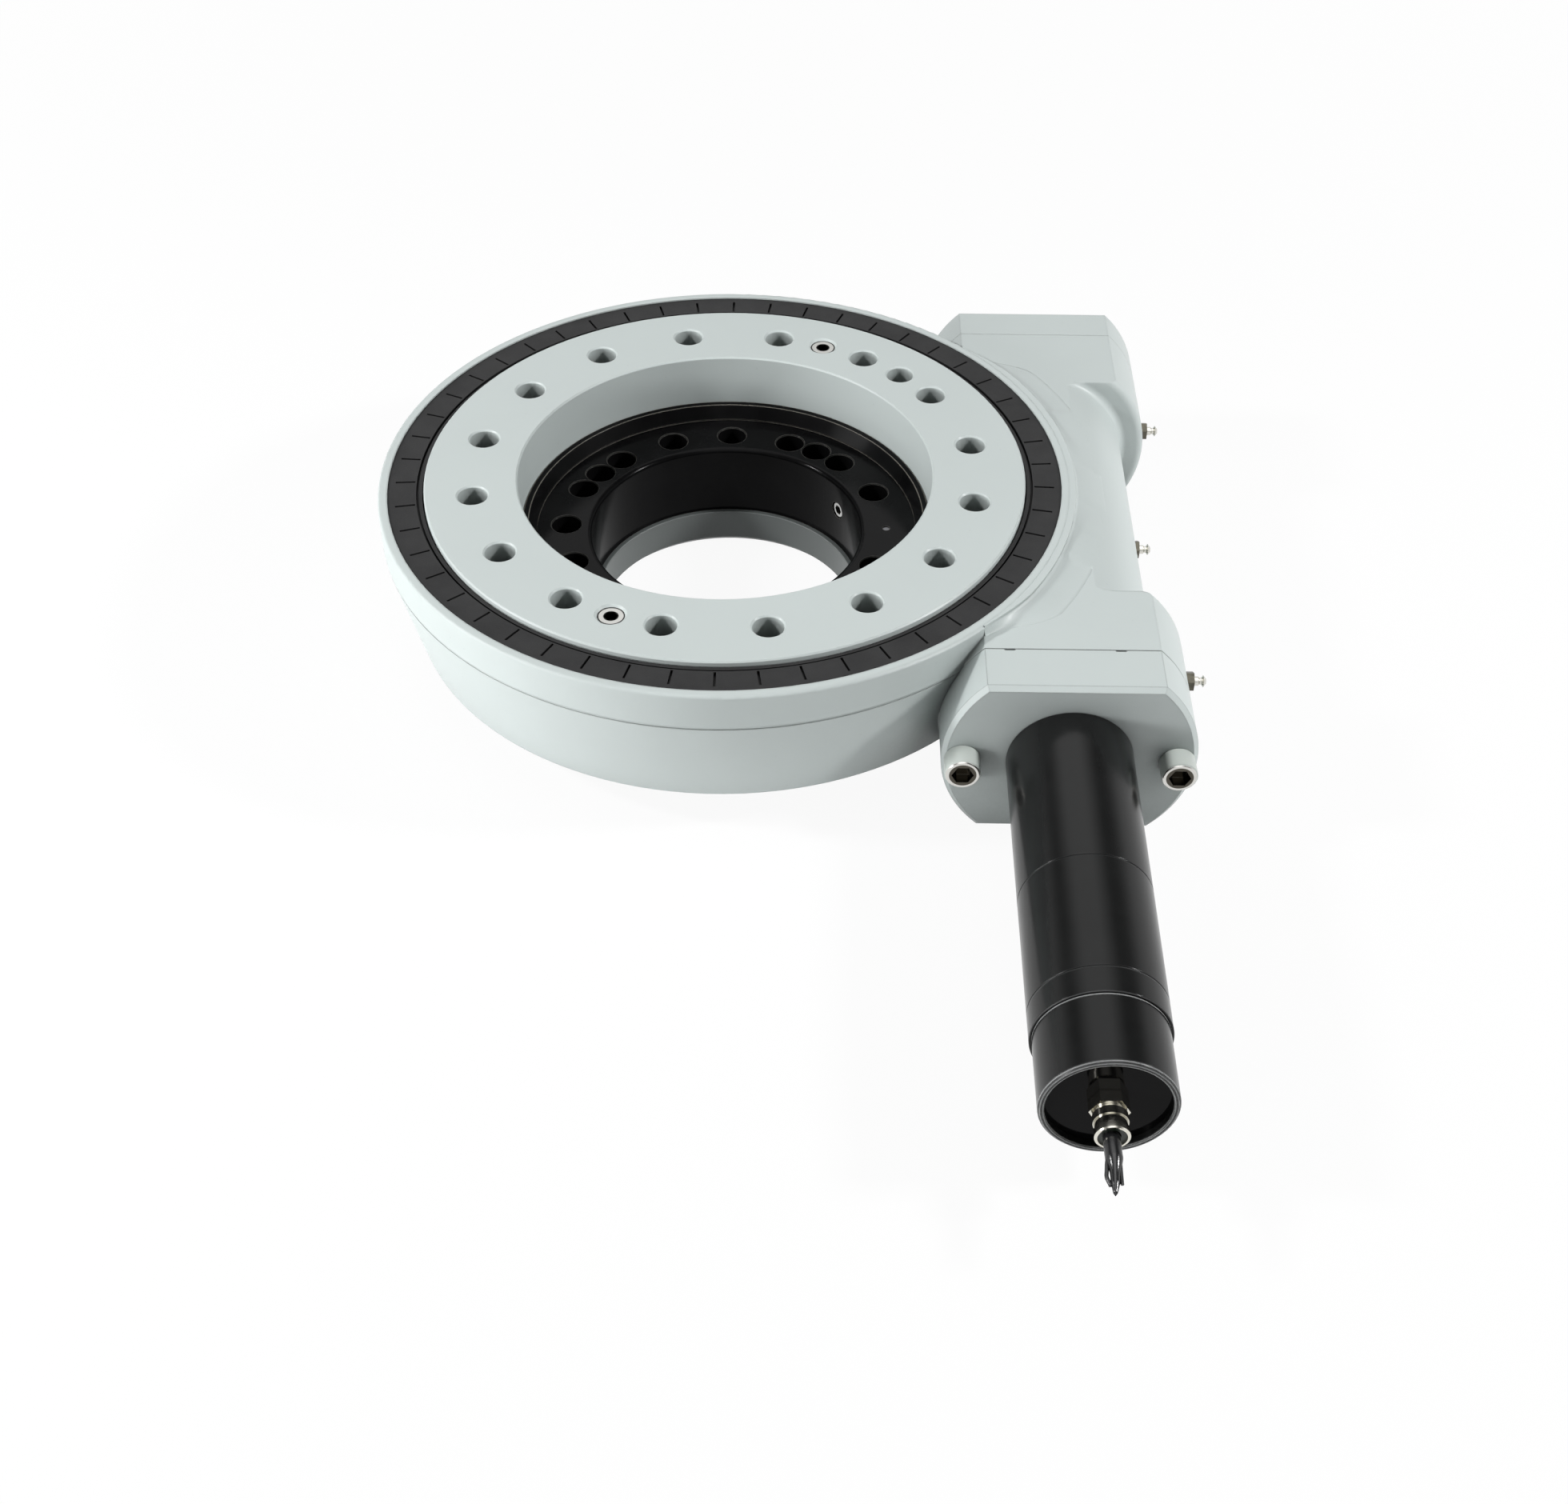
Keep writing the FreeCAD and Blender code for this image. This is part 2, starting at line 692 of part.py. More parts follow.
def make_inner_ring_fittings():
    seat = value_of(d.floor_thickness + d.inner_screw_seat)
    length = value_of(d.inner_screw_seat + d.inner_screw_grip)
    screw = cap_screw(d.inner_screw.value, d.inner_screw_head.value, d.inner_screw.value, length)
    screw.translate(Vector(base_bolt_circle.value / 2, 0, seat))
    shaped("inner_ring_screws", Part.Compound(copies(screw, 4, inner_screw_turns[0])))
    recess = value_of(inner_bore + d.fitting_drop)
    track = ball_orbit.value - race_section.value / 2
    reach = math.sqrt(track ** 2 - (d.loading_plug.value / 2) ** 2) - recess
    start = Vector(recess, 0, ball_height.value)
    plug = Part.makeCylinder(d.loading_plug.value / 2, reach, start, Vector(1, 0, 0))
    slot_width = d.loading_plug.value / 8
    slot_length = 0.7 * d.loading_plug.value
    slot = Part.makeBox(0.7 * slot_width, slot_width, slot_length)
    slot.translate(start - Vector(0, slot_width / 2, slot_length / 2))
    pin_low = ball_height.value - d.loading_plug.value / 4
    pin_place = Vector(base_bolt_circle.value / 2, 0, pin_low)
    pin_length = value_of(inner_top - d.fitting_drop) - pin_low
    lock_pin = Part.makeCylinder(d.lock_pin.value / 2, pin_length, pin_place)
    shaped("loading_plug", plug.cut(slot).cut(lock_pin))
    shaped("loading_plug_pin", lock_pin)
    x, y, z, aim = bore_plug_frame(inner_bore + d.fitting_drop)
    screw = Part.makeCylinder(d.bore_plug.value / 2, value_of(d.bore_plug_length - d.fitting_drop))
    screw = screw.makeChamfer(d.bore_plug.value / 12, [e for e in screw.Edges if e.BoundBox.ZMax < 1e-6])
    screw = screw.cut(hex_prism(d.bore_plug / 2, 0, d.bore_plug_length / 2))
    shaped("bore_plug", screw, Placement(Vector(x.value, y.value, z.value), aim))


def make_balls():
    ball_count = int(2 * math.pi * ball_orbit.value // (d.ball_dia.value + d.spacer_room.value))
    step = math.pi / ball_count
    place_radius = ball_orbit.value
    ball = Part.makeSphere(d.ball_dia.value / 2, Vector(place_radius, 0, ball_height.value))
    shaped("bearing_balls", Part.Compound(copies(ball, ball_count)))
    spare = 2 * place_radius * math.sin(step) - d.ball_dia.value
    thickness = spare - 2 * d.ball_clearance.value
    middle = place_radius * math.cos(step)
    start = Vector(middle, -thickness / 2, ball_height.value)
    disc = Part.makeCylinder(d.spacer_dia.value / 2, thickness, start, Vector(0, 1, 0))
    shaped("ball_spacers", Part.Compound(copies(disc, ball_count, math.degrees(step))))


def make_slewing_ring():
    neck = gear_root - d.gear_module * 0.1
    face_low = worm_height - d.gear_face / 2
    face_high = worm_height + d.gear_face / 2
    body = turned("slewing_ring", [
        (ring_inside, ring_bottom),
        (neck, ring_bottom),
        (neck, face_low),
        (gear_tip, face_low),
        (gear_tip, face_high),
        (neck, face_high),
        (neck, ring_neck),
        (ring_radius, ring_neck),
        (ring_radius, d.overall_height),
        (ring_bore, d.overall_height),
        (ring_bore, ring_shoulder),
        (ring_inside, ring_shoulder),
    ])
    top_edges = lambda edge: edge.BoundBox.ZMin > d.overall_height.value - 1e-6
    dress(body, "Chamfer", top_edges, d.ring_chamfer)
    groove(body, lambda sketch: circle(sketch, ball_orbit, ball_height, race_section))
    pitch = 360 / d.top_bolts.value
    turns = [d.top_bolt_turn.value + pitch * i for i in range(int(d.top_bolts.value))]
    drill_points(body, [polar(top_bolt_circle, angle) for angle in turns], d.top_hole)
    drill_points(body, [polar(top_bolt_circle, turns[0] + 1.5 * pitch)], d.spare_hole)
    plugs = [polar(top_bolt_circle, angle) for angle in ring_plug_turns()]
    drill(body, "XY_Plane", d.overall_height, plugs, d.plug_hole, d.plug_depth)
    dress(body, "Chamfer", hole_mouth(d.overall_height, d.plug_hole), d.plug_recess)
    cut_teeth(body)


def ring_plug_turns():
    pitch = 360 / d.top_bolts.value
    return [d.top_bolt_turn.value + 2.5 * pitch, d.top_bolt_turn.value + 10.5 * pitch]


def drill_points(body, places, diameter):
    """Blind holes with a drill point and a chamfered mouth."""
    sketch = new_sketch(body, "XY_Plane", d.overall_height)
    for x, y in places:
        circle(sketch, x, y, diameter)
    doc.recompute()
    before = body.Shape.Volume
    hole = body.newObject("PartDesign::Hole", f"{body.Name}_holes")
    hole.Profile = (sketch, [""])
    hole.Threaded = False
    hole.Diameter = diameter.value
    bind(hole, "Diameter", diameter)
    hole.DepthType = "Dimension"
    hole.Depth = d.top_hole_depth.value
    bind(hole, "Depth", d.top_hole_depth)
    hole.DrillPoint = "Angled"
    hole.DrillPointAngle = 118
    hole.HoleCutType = "Countersink"
    hole.HoleCutDiameter = value_of(diameter + d.ring_chamfer * 2)
    bind(hole, "HoleCutDiameter", diameter + d.ring_chamfer * 2)
    hole.HoleCutCountersinkAngle = 90
    finish_cut(body, before)


def cut_teeth(body):
    """One slanted tooth space, repeated for every tooth."""
    lead = math.atan(d.gear_module.value / d.worm_pitch_dia.value)
    slope = math.tan(math.radians(20) + math.pi / 2 / d.gear_teeth.value)
    half = d.gear_module * (math.pi / 4) + d.flank_gap
    beyond = gear_tip + d.gear_module * 0.4
    outer_half = half + (beyond - pitch_radius) * slope
    inner_half = half - (pitch_radius - gear_root) * slope
    sketch = new_sketch(body, "XY_Plane", worm_height)
    polygon(sketch, [
        (gear_root, -inner_half),
        (beyond, -outer_half),
        (beyond, outer_half),
        (gear_root, inner_half),
    ])
    before = body.Shape.Volume
    feature = body.newObject("PartDesign::Pocket", f"{body.Name}_tooth_space")
    feature.Profile = (sketch, [""])
    feature.SideType = "Symmetric"
    feature.UseCustomVector = True
    feature.Direction = Vector(0, math.sin(lead), math.cos(lead))
    feature.AlongSketchNormal = True
    feature.Length = value_of(d.gear_face + d.gear_module)
    bind(feature, "Length", d.gear_face + d.gear_module)
    finish_cut(body, before)
    around(body, feature, sketch, d.gear_teeth)


def make_ring_plugs():
    top = d.overall_height.value - d.plug_recess.value
    low = d.overall_height.value - d.plug_depth.value
    plug = Part.makeCylinder(d.plug_hole.value / 2, top - low, Vector(0, 0, low))
    plug = plug.cut(hex_prism(0.45 * d.plug_hole.value, low + 0.45 * (top - low), top))
    plug.translate(Vector(top_bolt_circle.value / 2, 0, 0))
    shaped("ring_plugs", Part.Compound(copies(plug, 2, ring_plug_turns()[0])))


def make_ring_seals():
    inside = ring_radius + d.seal_gap
    lip_edge = inside + d.seal_lip
    band_edge = lip_edge + d.seal_groove
    lip_top = seal_top - d.seal_lip_drop
    groove_low = seal_top - d.seal_groove_depth
    body = turned("dust_seal", [
        (inside, seal_seat),
        (rim_inner, seal_seat),
        (rim_inner, seal_top),
        (band_edge, seal_top),
        (band_edge, groove_low),
        (lip_edge, groove_low),
        (lip_edge, lip_top),
        (inside, lip_top),
    ])
    place(body, 0, 0, 0, Rotation(Vector(0, 0, 1), d.seal_slot_turn.value))
    middle = (inside + rim_inner) / 2
    sketch = new_sketch(body, "XY_Plane", seal_top)
    near = middle - d.seal_slot_length / 2
    far = middle + d.seal_slot_length / 2
    half = d.seal_slot_width / 2
    polygon(sketch, [(near, -half), (far, -half), (far, half), (near, half)])
    slot = pocket(body, sketch, d.seal_slot_depth)
    around(body, slot, sketch, d.seal_slots)
    ring_lip_top = inner_top + d.lip_height
    lip_low = ring_shoulder + d.lip_gap
    lip_out = ring_bore - d.lip_gap
    lip_neck = ring_inside - d.lip_gap
    turned("lip_seal", [
        (inner_outside - d.race_gap + d.ring_chamfer, inner_top),
        (inner_outside - d.ring_chamfer, inner_top),
        (lip_neck, lip_low - d.lip_gap),
        (lip_neck, lip_low),
        (lip_out, lip_low),
        (lip_out, ring_lip_top),
        (lip_neck - d.ring_chamfer, ring_lip_top),
        (inner_outside - d.race_gap + d.ring_chamfer, inner_top + d.ring_chamfer),
    ])
    seal_out = gear_root - d.floor_seal_width
    seal_high = ring_bottom - d.lip_gap
    turned("floor_seal", ring_profile(seal_out - d.floor_seal_width, seal_out, d.floor_thickness, seal_high))


def make_worm():
    journal = d.bearing_bore / 2
    collar = d.shaft_collar / 2
    low = front - d.shaft_overhang
    high = rear_shoulder + d.bearing_width + 1
    front_collar = front_shoulder + d.collar_width
    rear_collar = rear_shoulder - d.collar_width
    relief = collar - worm_root
    body = new_body("worm_shaft")
    on_worm_line(body)
    sketch = new_sketch(body, "XZ_Plane")
    polygon(sketch, [
        (0, low),
        (journal, low),
        (journal, front_shoulder),
        (collar, front_shoulder),
        (collar, front_collar),
        (worm_root, front_collar + relief),
        (worm_root, rear_collar - relief),
        (collar, rear_collar),
        (collar, rear_shoulder),
        (journal, rear_shoulder),
        (journal, high),
        (0, high),
    ])
    turn(body, sketch)
    doc.recompute()
    cut_thread(body)
    bore = new_sketch(body, "XY_Plane", low)
    circle(bore, 0, 0, d.output_shaft)
    depth = d.output_shaft_reach + d.key_width / 3
    pocket(body, bore, depth, True)
    keyway = new_sketch(body, "XY_Plane", low)
    half = d.key_width / 2
    key_top = d.output_shaft / 2 + half * 0.9
    polygon(keyway, [(0, -half), (key_top, -half), (key_top, half), (0, half)])
    pocket(body, keyway, d.key_length + d.key_width / 1.5, True)


def cut_thread(body):
    """A right-hand thread whose crest faces the middle of the wheel on the -X side."""
    lead = d.gear_module * math.pi
    slope = math.tan(math.radians(20))
    half = d.gear_module * (math.pi / 4)
    sunk = worm_root - d.gear_module * 0.2
    root_half = half + (d.worm_pitch_dia / 2 - sunk) * slope
    tip_half = half - d.gear_module * slope
    turns = round(d.worm_length.value / lead.value)
    start = lead * (-0.5 * turns - 0.5 + turns % 2 * 0.5)
    sketch = new_sketch(body, "XZ_Plane")
    polygon(sketch, [
        (sunk, start - root_half),
        (worm_tip, start - tip_half),
        (worm_tip, start + tip_half),
        (sunk, start + root_half),
    ])
    thread = body.newObject("PartDesign::AdditiveHelix", f"{body.Name}_thread")
    thread.Profile = (sketch, [""])
    thread.ReferenceAxis = (sketch, ["V_Axis"])
    thread.Mode = 0
    thread.Pitch = lead.value
    bind(thread, "Pitch", lead)
    thread.Height = lead.value * turns
    bind(thread, "Height", lead * turns)
    thread.LeftHanded = False
    thread.Reversed = False
    doc.recompute()


def make_taper_bearing(end, shoulder, side):
    """Cup, cone and rollers; the cone rests on a shaft shoulder and side points out of the housing."""
    middle_radius = (d.bearing_bore + d.bearing_dia) / 4
    roller_tilt, half_taper = math.radians(12), math.radians(2)
    outer = shoulder + d.bearing_width * side
    middle = shoulder + d.bearing_width * (side / 2)
    half_width = d.bearing_width / 2

    def race(tilt, offset):
        near_middle = middle_radius * (math.tan(tilt) / math.tan(roller_tilt)) + offset
        lean = half_width * math.tan(tilt)
        return near_middle + lean, near_middle - lean

    gap = d.roller_clearance
    cup_wide, cup_narrow = race(roller_tilt + half_taper, gap)
    cone_wide, cone_narrow = race(roller_tilt - half_taper, -gap)
    bore = d.bearing_bore / 2
    outside = d.bearing_dia / 2
    on_worm_line(turned(f"{end}_bearing_cup", [
        (cup_wide, shoulder), (outside, shoulder), (outside, outer), (cup_narrow, outer),
    ]))
    on_worm_line(turned(f"{end}_bearing_cone", [
        (bore, shoulder), (cone_wide, shoulder), (cone_narrow, outer), (bore, outer),
    ]))
    apex_length = middle_radius.value / math.sin(roller_tilt)
    half_length = d.roller_length.value / 2
    small = (apex_length - half_length) * math.tan(half_taper)
    large = (apex_length + half_length) * math.tan(half_taper)
    lean = Vector(-math.sin(roller_tilt), 0, side * math.cos(roller_tilt))
    start = Vector(middle_radius.value, 0, middle.value) - lean * half_length
    roller = Part.makeCone(large, small, d.roller_length.value, start, lean)
    rollers = copies(roller, int(d.roller_count.value))
    shaped(f"{end}_rollers", Part.Compound(rollers), worm_line)


def make_shaft_seal():
    inner = d.bearing_bore / 2 + d.shaft_seal_gap
    high = front + d.shaft_seal_width
    lip = d.shaft_seal_width / 3
    outer = d.bearing_dia / 2
    on_worm_line(turned("shaft_seal", [
        (inner + lip, front),
        (outer, front),
        (outer, high),
        (outer - lip, high),
        (outer - lip, front + lip),
        (inner + lip, front + lip),
        (inner + lip, high - lip),
        (inner, high - lip),
        (inner, front + lip),
    ]))


def make_rear_cover():
    body = new_body("rear_cover")
    on_worm_line(body)
    sketch = new_sketch(body, "XY_Plane", d.rear_face)
    flatted_disc(sketch, 0, 0, boss_dia, across_flats)
    pad(body, sketch, d.cover_thickness)
    far = value_of(d.rear_face + d.cover_thickness)
    dress(body, "Chamfer", lambda edge: edge.BoundBox.ZMin > far - 1e-6, d.cover_chamfer)
    spigot = new_sketch(body, "XY_Plane", d.rear_face)
    circle(spigot, 0, 0, d.bearing_dia)
    circle(spigot, 0, 0, d.bearing_dia - d.shaft_seal_width * 2)
    pad(body, spigot, d.shaft_seal_width, True)
    groove_low = d.rear_face - d.shaft_seal_width / 2 - d.oring_section / 2
    groove_high = groove_low + d.oring_section
    groove_in = d.bearing_dia / 2 - d.oring_section
    groove(body, lambda sketch: polygon(sketch, ring_profile(
        groove_in, d.bearing_dia / 2 + 1, groove_low, groove_high)))
    places = [polar(cover_screw_circle, angle) for angle in cover_screw_turns]
    top = d.rear_face + d.cover_thickness
    drill(body, "XY_Plane", top, places, d.cover_screw, d.cover_thickness)
    drill(body, "XY_Plane", top, places, d.cover_screw_head + 1, d.cover_screw)
    section = d.oring_section.value / 2
    ring_radius = d.bearing_dia.value / 2 - section
    height = (groove_low.value + groove_high.value) / 2
    oring = Part.makeTorus(ring_radius, section, Vector(0, 0, height))
    shaped("rear_cover_oring", oring, worm_line)
    seat = value_of(top - d.cover_screw)
    length = value_of(d.cover_thickness - d.cover_screw + d.cover_screw_grip)
    screw = cap_screw(d.cover_screw.value, d.cover_screw_head.value, 0.94 * d.cover_screw.value, length)
    screw.translate(Vector(cover_screw_circle.value / 2, 0, seat))
    shaped("rear_cover_screws", Part.Compound(copies(screw, 4, cover_screw_turns[0])), worm_line)


def make_motor_flange():
    body = new_body("motor_flange")
    on_worm_line(body)
    sketch = new_sketch(body, "XY_Plane", flange_front)
    flatted_disc(sketch, 0, 0, boss_dia, across_flats)
    pad(body, sketch, d.flange_thickness)
    near = value_of(flange_front)
    dress(body, "Chamfer", lambda edge: edge.BoundBox.ZMax < near + 1e-6, d.cover_chamfer)
    back = value_of(front)
    dress(body, "Chamfer", lambda edge: edge.BoundBox.ZMin > back - 1e-6, d.flange_joint)
    drill(body, "XY_Plane", flange_front, [(0, 0)], d.flange_bore, d.flange_thickness, True)
    slots = new_sketch(body, "XY_Plane", front)
    for middle in (-d.left_pry_slot, d.right_pry_slot):
        near_edge = middle - d.pry_slot / 2
        far_edge = near_edge + d.pry_slot
        bottom = across_flats / -2 + d.pry_slot_depth
        outside = across_flats / -2 - d.pry_slot_depth
        polygon(slots, [(near_edge, outside), (far_edge, outside), (far_edge, bottom), (near_edge, bottom)])
    pocket(body, slots, d.pry_slot_depth)
    spread = [(flange_screw_reach * side, 0) for side in (-1, 1)]
    screw_hole = d.flange_screw + d.flange_hole_gap
    drill(body, "XY_Plane", flange_front, spread, screw_hole, d.flange_thickness, True)
    places = [polar(gearbox_screw_circle, angle) for angle in cover_screw_turns]
    drill(body, "XY_Plane", front, places, d.gearbox_screw + d.flange_hole_gap, d.flange_thickness)
    drill(body, "XY_Plane", front, places, d.gearbox_screw_head + 1, d.gearbox_screw + 1)
    length = value_of(d.flange_thickness + d.flange_screw_grip)
    screw = cap_screw(d.flange_screw.value, d.flange_screw_head.value, d.flange_screw.value, length)
    screw.rotate(Vector(), Vector(1, 0, 0), 180)
    screw.translate(Vector(flange_screw_reach.value, 0, near))
    shaped("flange_screws", Part.Compound(copies(screw, 2)), worm_line)
    seat = value_of(front - d.gearbox_screw - 1)
    grip = value_of(d.flange_thickness - d.gearbox_screw - 1 + d.gearbox_screw_grip)
    small = cap_screw(d.gearbox_screw.value, d.gearbox_screw_head.value, d.gearbox_screw.value, grip)
    small.translate(Vector(gearbox_screw_circle.value / 2, 0, seat))
    shaped("gearbox_screws", Part.Compound(copies(small, 4, cover_screw_turns[0])), worm_line)


def make_grease_nipples():
    shank = d.nipple_shank.value / 2
    hex_high = d.nipple_hex_height.value
    tip = d.nipple_length.value
    stem = Part.makePolygon([
        Vector(0, 0, hex_high),
        Vector(0.8 * shank, 0, hex_high),
        Vector(0.8 * shank, 0, 0.62 * tip),
        Vector(0.6 * shank, 0, 0.7 * tip),
        Vector(0.6 * shank, 0, 0.78 * tip),
        Vector(1.05 * shank, 0, 0.87 * tip),
        Vector(0.5 * shank, 0, tip),
        Vector(0, 0, tip),
        Vector(0, 0, hex_high),
    ])
    stem = Part.Face(stem).revolve(Vector(), Vector(0, 0, 1), 360)
    nipple = hex_prism(d.nipple_hex, 0, hex_high).fuse(stem)
    nipple = nipple.fuse(Part.makeCylinder(shank, tip / 2, Vector(0, 0, -tip / 2))).removeSplitter()
    nipple.rotate(Vector(), Vector(0, 1, 0), 90)
    placed = []
    for y, z, outside in nipple_places:
        copy = nipple.copy()
        copy.translate(Vector(value_of(worm_x + outside - d.nipple_sink), y.value, z.value))
        placed.append(copy)
    shaped("grease_nipples", Part.Compound(placed))


# Gearbox


def gear_outline(teeth, module, tip, root, thinning, turn_angle=0):
    """A closed involute outline about Z; thinning narrows each tooth at the pitch circle."""
    pitch = teeth * module / 2
    base = pitch * math.cos(math.radians(20))
    involute = lambda radius: math.tan(math.acos(base / radius)) - math.acos(base / radius)
    pitch_half = math.pi / 2 / teeth - thinning / 2 / pitch
    foot = max(base, root)
    stations = (foot, (foot + tip) / 2, tip)
    halves = [pitch_half + involute(pitch) - involute(radius) for radius in stations]

    def at(radius, angle):
        return Vector(radius * math.cos(angle), radius * math.sin(angle), 0)

    edges = []
    for i in range(teeth):
        middle = math.radians(turn_angle) + 2 * math.pi * i / teeth
        following = middle + 2 * math.pi / teeth
        rising = [at(r, middle - h) for r, h in zip(stations, halves)]
        falling = [at(r, middle + h) for r, h in zip(reversed(stations), reversed(halves))]
        low_start = at(root, middle - halves[0])
        low_end = at(root, middle + halves[0])
        next_start = at(root, following - halves[0])
        if foot > root:
            edges.append(Part.makeLine(low_start, rising[0]))
        edges.append(Part.Arc(*rising).toShape())
        edges.append(Part.Arc(rising[2], at(tip, middle), falling[0]).toShape())
        edges.append(Part.Arc(*falling).toShape())
        if foot > root:
            edges.append(Part.makeLine(falling[2], low_end))
        edges.append(Part.Arc(low_end, at(root, (middle + following) / 2), next_start).toShape())
    return Part.Wire(edges)


def gear(teeth, low, high, tip, root, thinning, turn_angle=0):
    outline = gear_outline(teeth, d.planet_module.value, tip, root, thinning, turn_angle)
    shape = Part.Face(outline).extrude(Vector(0, 0, value_of(high) - value_of(low)))
    shape.translate(Vector(0, 0, value_of(low)))
    return shape


sun_teeth = int(d.sun_teeth.value)
planet_teeth = int(d.planet_teeth.value)
ring_teeth = int(ring_gear_teeth.value)
addendum = 0.85 * d.planet_module.value
dedendum = 1.2 * d.planet_module.value
sun_pitch = d.planet_module.value * sun_teeth / 2
planet_pitch = d.planet_module.value * planet_teeth / 2
ring_pitch = d.planet_module.value * ring_teeth / 2
orbit = sun_pitch + planet_pitch
case_inside = motor_dia / 2 - d.case_wall
case_wall_in = flange_front - d.gearbox_wall
space = d.gearbox_slack / 20
output_disc = case_wall_in - space * 2
output_planets = output_disc - d.carrier_thickness - space
input_disc = output_planets - d.planet_length - space * 3
input_planets = input_disc - d.carrier_thickness - space
pinion_end = input_planets - d.planet_length - space * 3
bell_front = gearbox_end + d.bell_spigot


def sun_gear(low, high):
    return gear(sun_teeth, low, high, sun_pitch + addendum, sun_pitch - dedendum, d.planet_backlash.value)


def planet_pins(low, high):
    pin_shape = tube(0, d.planet_pin / 2, low, high)
    pin_shape.translate(Vector(orbit, 0, 0))
    return copies(pin_shape, 3)


def make_planets(stage, top):
    low = top - d.planet_length
    outline = (planet_pitch + addendum, planet_pitch - dedendum, d.planet_backlash.value, 180 / planet_teeth)
    planet = gear(planet_teeth, low, top, *outline)
    planet = planet.cut(tube(0, d.planet_pin / 2 + d.planet_pin_gap, low, top))
    planet.translate(Vector(orbit, 0, 0))
    for number, copy in enumerate(copies(planet, 3), 1):
        shaped(f"{stage}_planet_{number}", copy, worm_line)


def make_gearbox():
    outside = motor_dia / 2
    shaft_hole = d.output_shaft / 2 + d.output_shaft_gap
    pilot = d.flange_bore / 2
    body = on_worm_line(turned("gearbox_case", [
        (shaft_hole, flange_front + d.pilot_length),
        (pilot, flange_front + d.pilot_length),
        (pilot, flange_front),
        (outside, flange_front),
        (outside, gearbox_end + d.motor_seam),
        (outside - d.motor_seam, gearbox_end),
        (case_inside, gearbox_end),
        (case_inside, case_wall_in),
        (shaft_hole, case_wall_in),
    ]))
    places = [polar(gearbox_screw_circle, angle) for angle in cover_screw_turns]
    drill(body, "XY_Plane", flange_front, places, d.gearbox_screw, d.gearbox_screw_grip)
    hole = gear(
        ring_teeth, bell_front, case_wall_in, ring_pitch + dedendum, ring_pitch - addendum,
        -d.planet_backlash.value, 180 / ring_teeth,
    )
    blank = tube(0, case_inside, bell_front, case_wall_in)
    shaped("ring_gear", blank.cut(hole), worm_line)
    carrier_radius = d.planet_module * (ring_teeth / 2 - 3)
    make_output_shaft(carrier_radius)
    make_planets("output", output_planets)
    disc_end = input_disc - d.carrier_thickness
    sun = sun_gear(input_disc, output_planets - space)
    carrier = tube(0, carrier_radius, disc_end, input_disc).fuse(sun)
    pins = planet_pins(input_planets - d.planet_length - space, input_disc)
    for pin_shape in pins:
        carrier = carrier.cut(pin_shape)
    shaped("input_carrier", carrier, worm_line)
    shaped("input_planet_pins", Part.Compound(pins), worm_line)
    make_planets("input", input_planets)


def make_output_shaft(carrier_radius):
    reach_end = front - d.shaft_overhang + d.output_shaft_reach
    disc_end = output_disc - d.carrier_thickness
    radius = d.output_shaft / 2
    body = on_worm_line(turned("output_shaft", [
        (0, disc_end), (carrier_radius, disc_end), (carrier_radius, output_disc), (radius, output_disc),
        (radius, reach_end), (0, reach_end),
    ]))
    spots = [polar(Size(2 * orbit, f"{formula_of(d.planet_module)} * {sun_teeth + planet_teeth}"), 120 * i)
             for i in range(3)]
    drill(body, "XY_Plane", disc_end, spots, d.planet_pin, d.carrier_thickness, True)
    pins = planet_pins(output_planets - d.planet_length - space, output_disc)
    shaped("output_planet_pins", Part.Compound(pins), worm_line)
    half = d.key_width / 2
    key_low = front - d.shaft_overhang
    keyway = new_sketch(body, "XY_Plane", key_low)
    key_bottom = radius - half
    polygon(keyway, [(key_bottom, -half), (radius + 1, -half), (radius + 1, half), (key_bottom, half)])
    pocket(body, keyway, d.key_length, True)
    key_top = radius + half * 0.9
    size = [value_of(key_top - key_bottom), d.key_width.value, d.key_length.value]
    key = Part.makeBox(*size, Vector(key_bottom.value, -half.value, key_low.value))
    shaped("output_key", key, worm_line)


# Motor


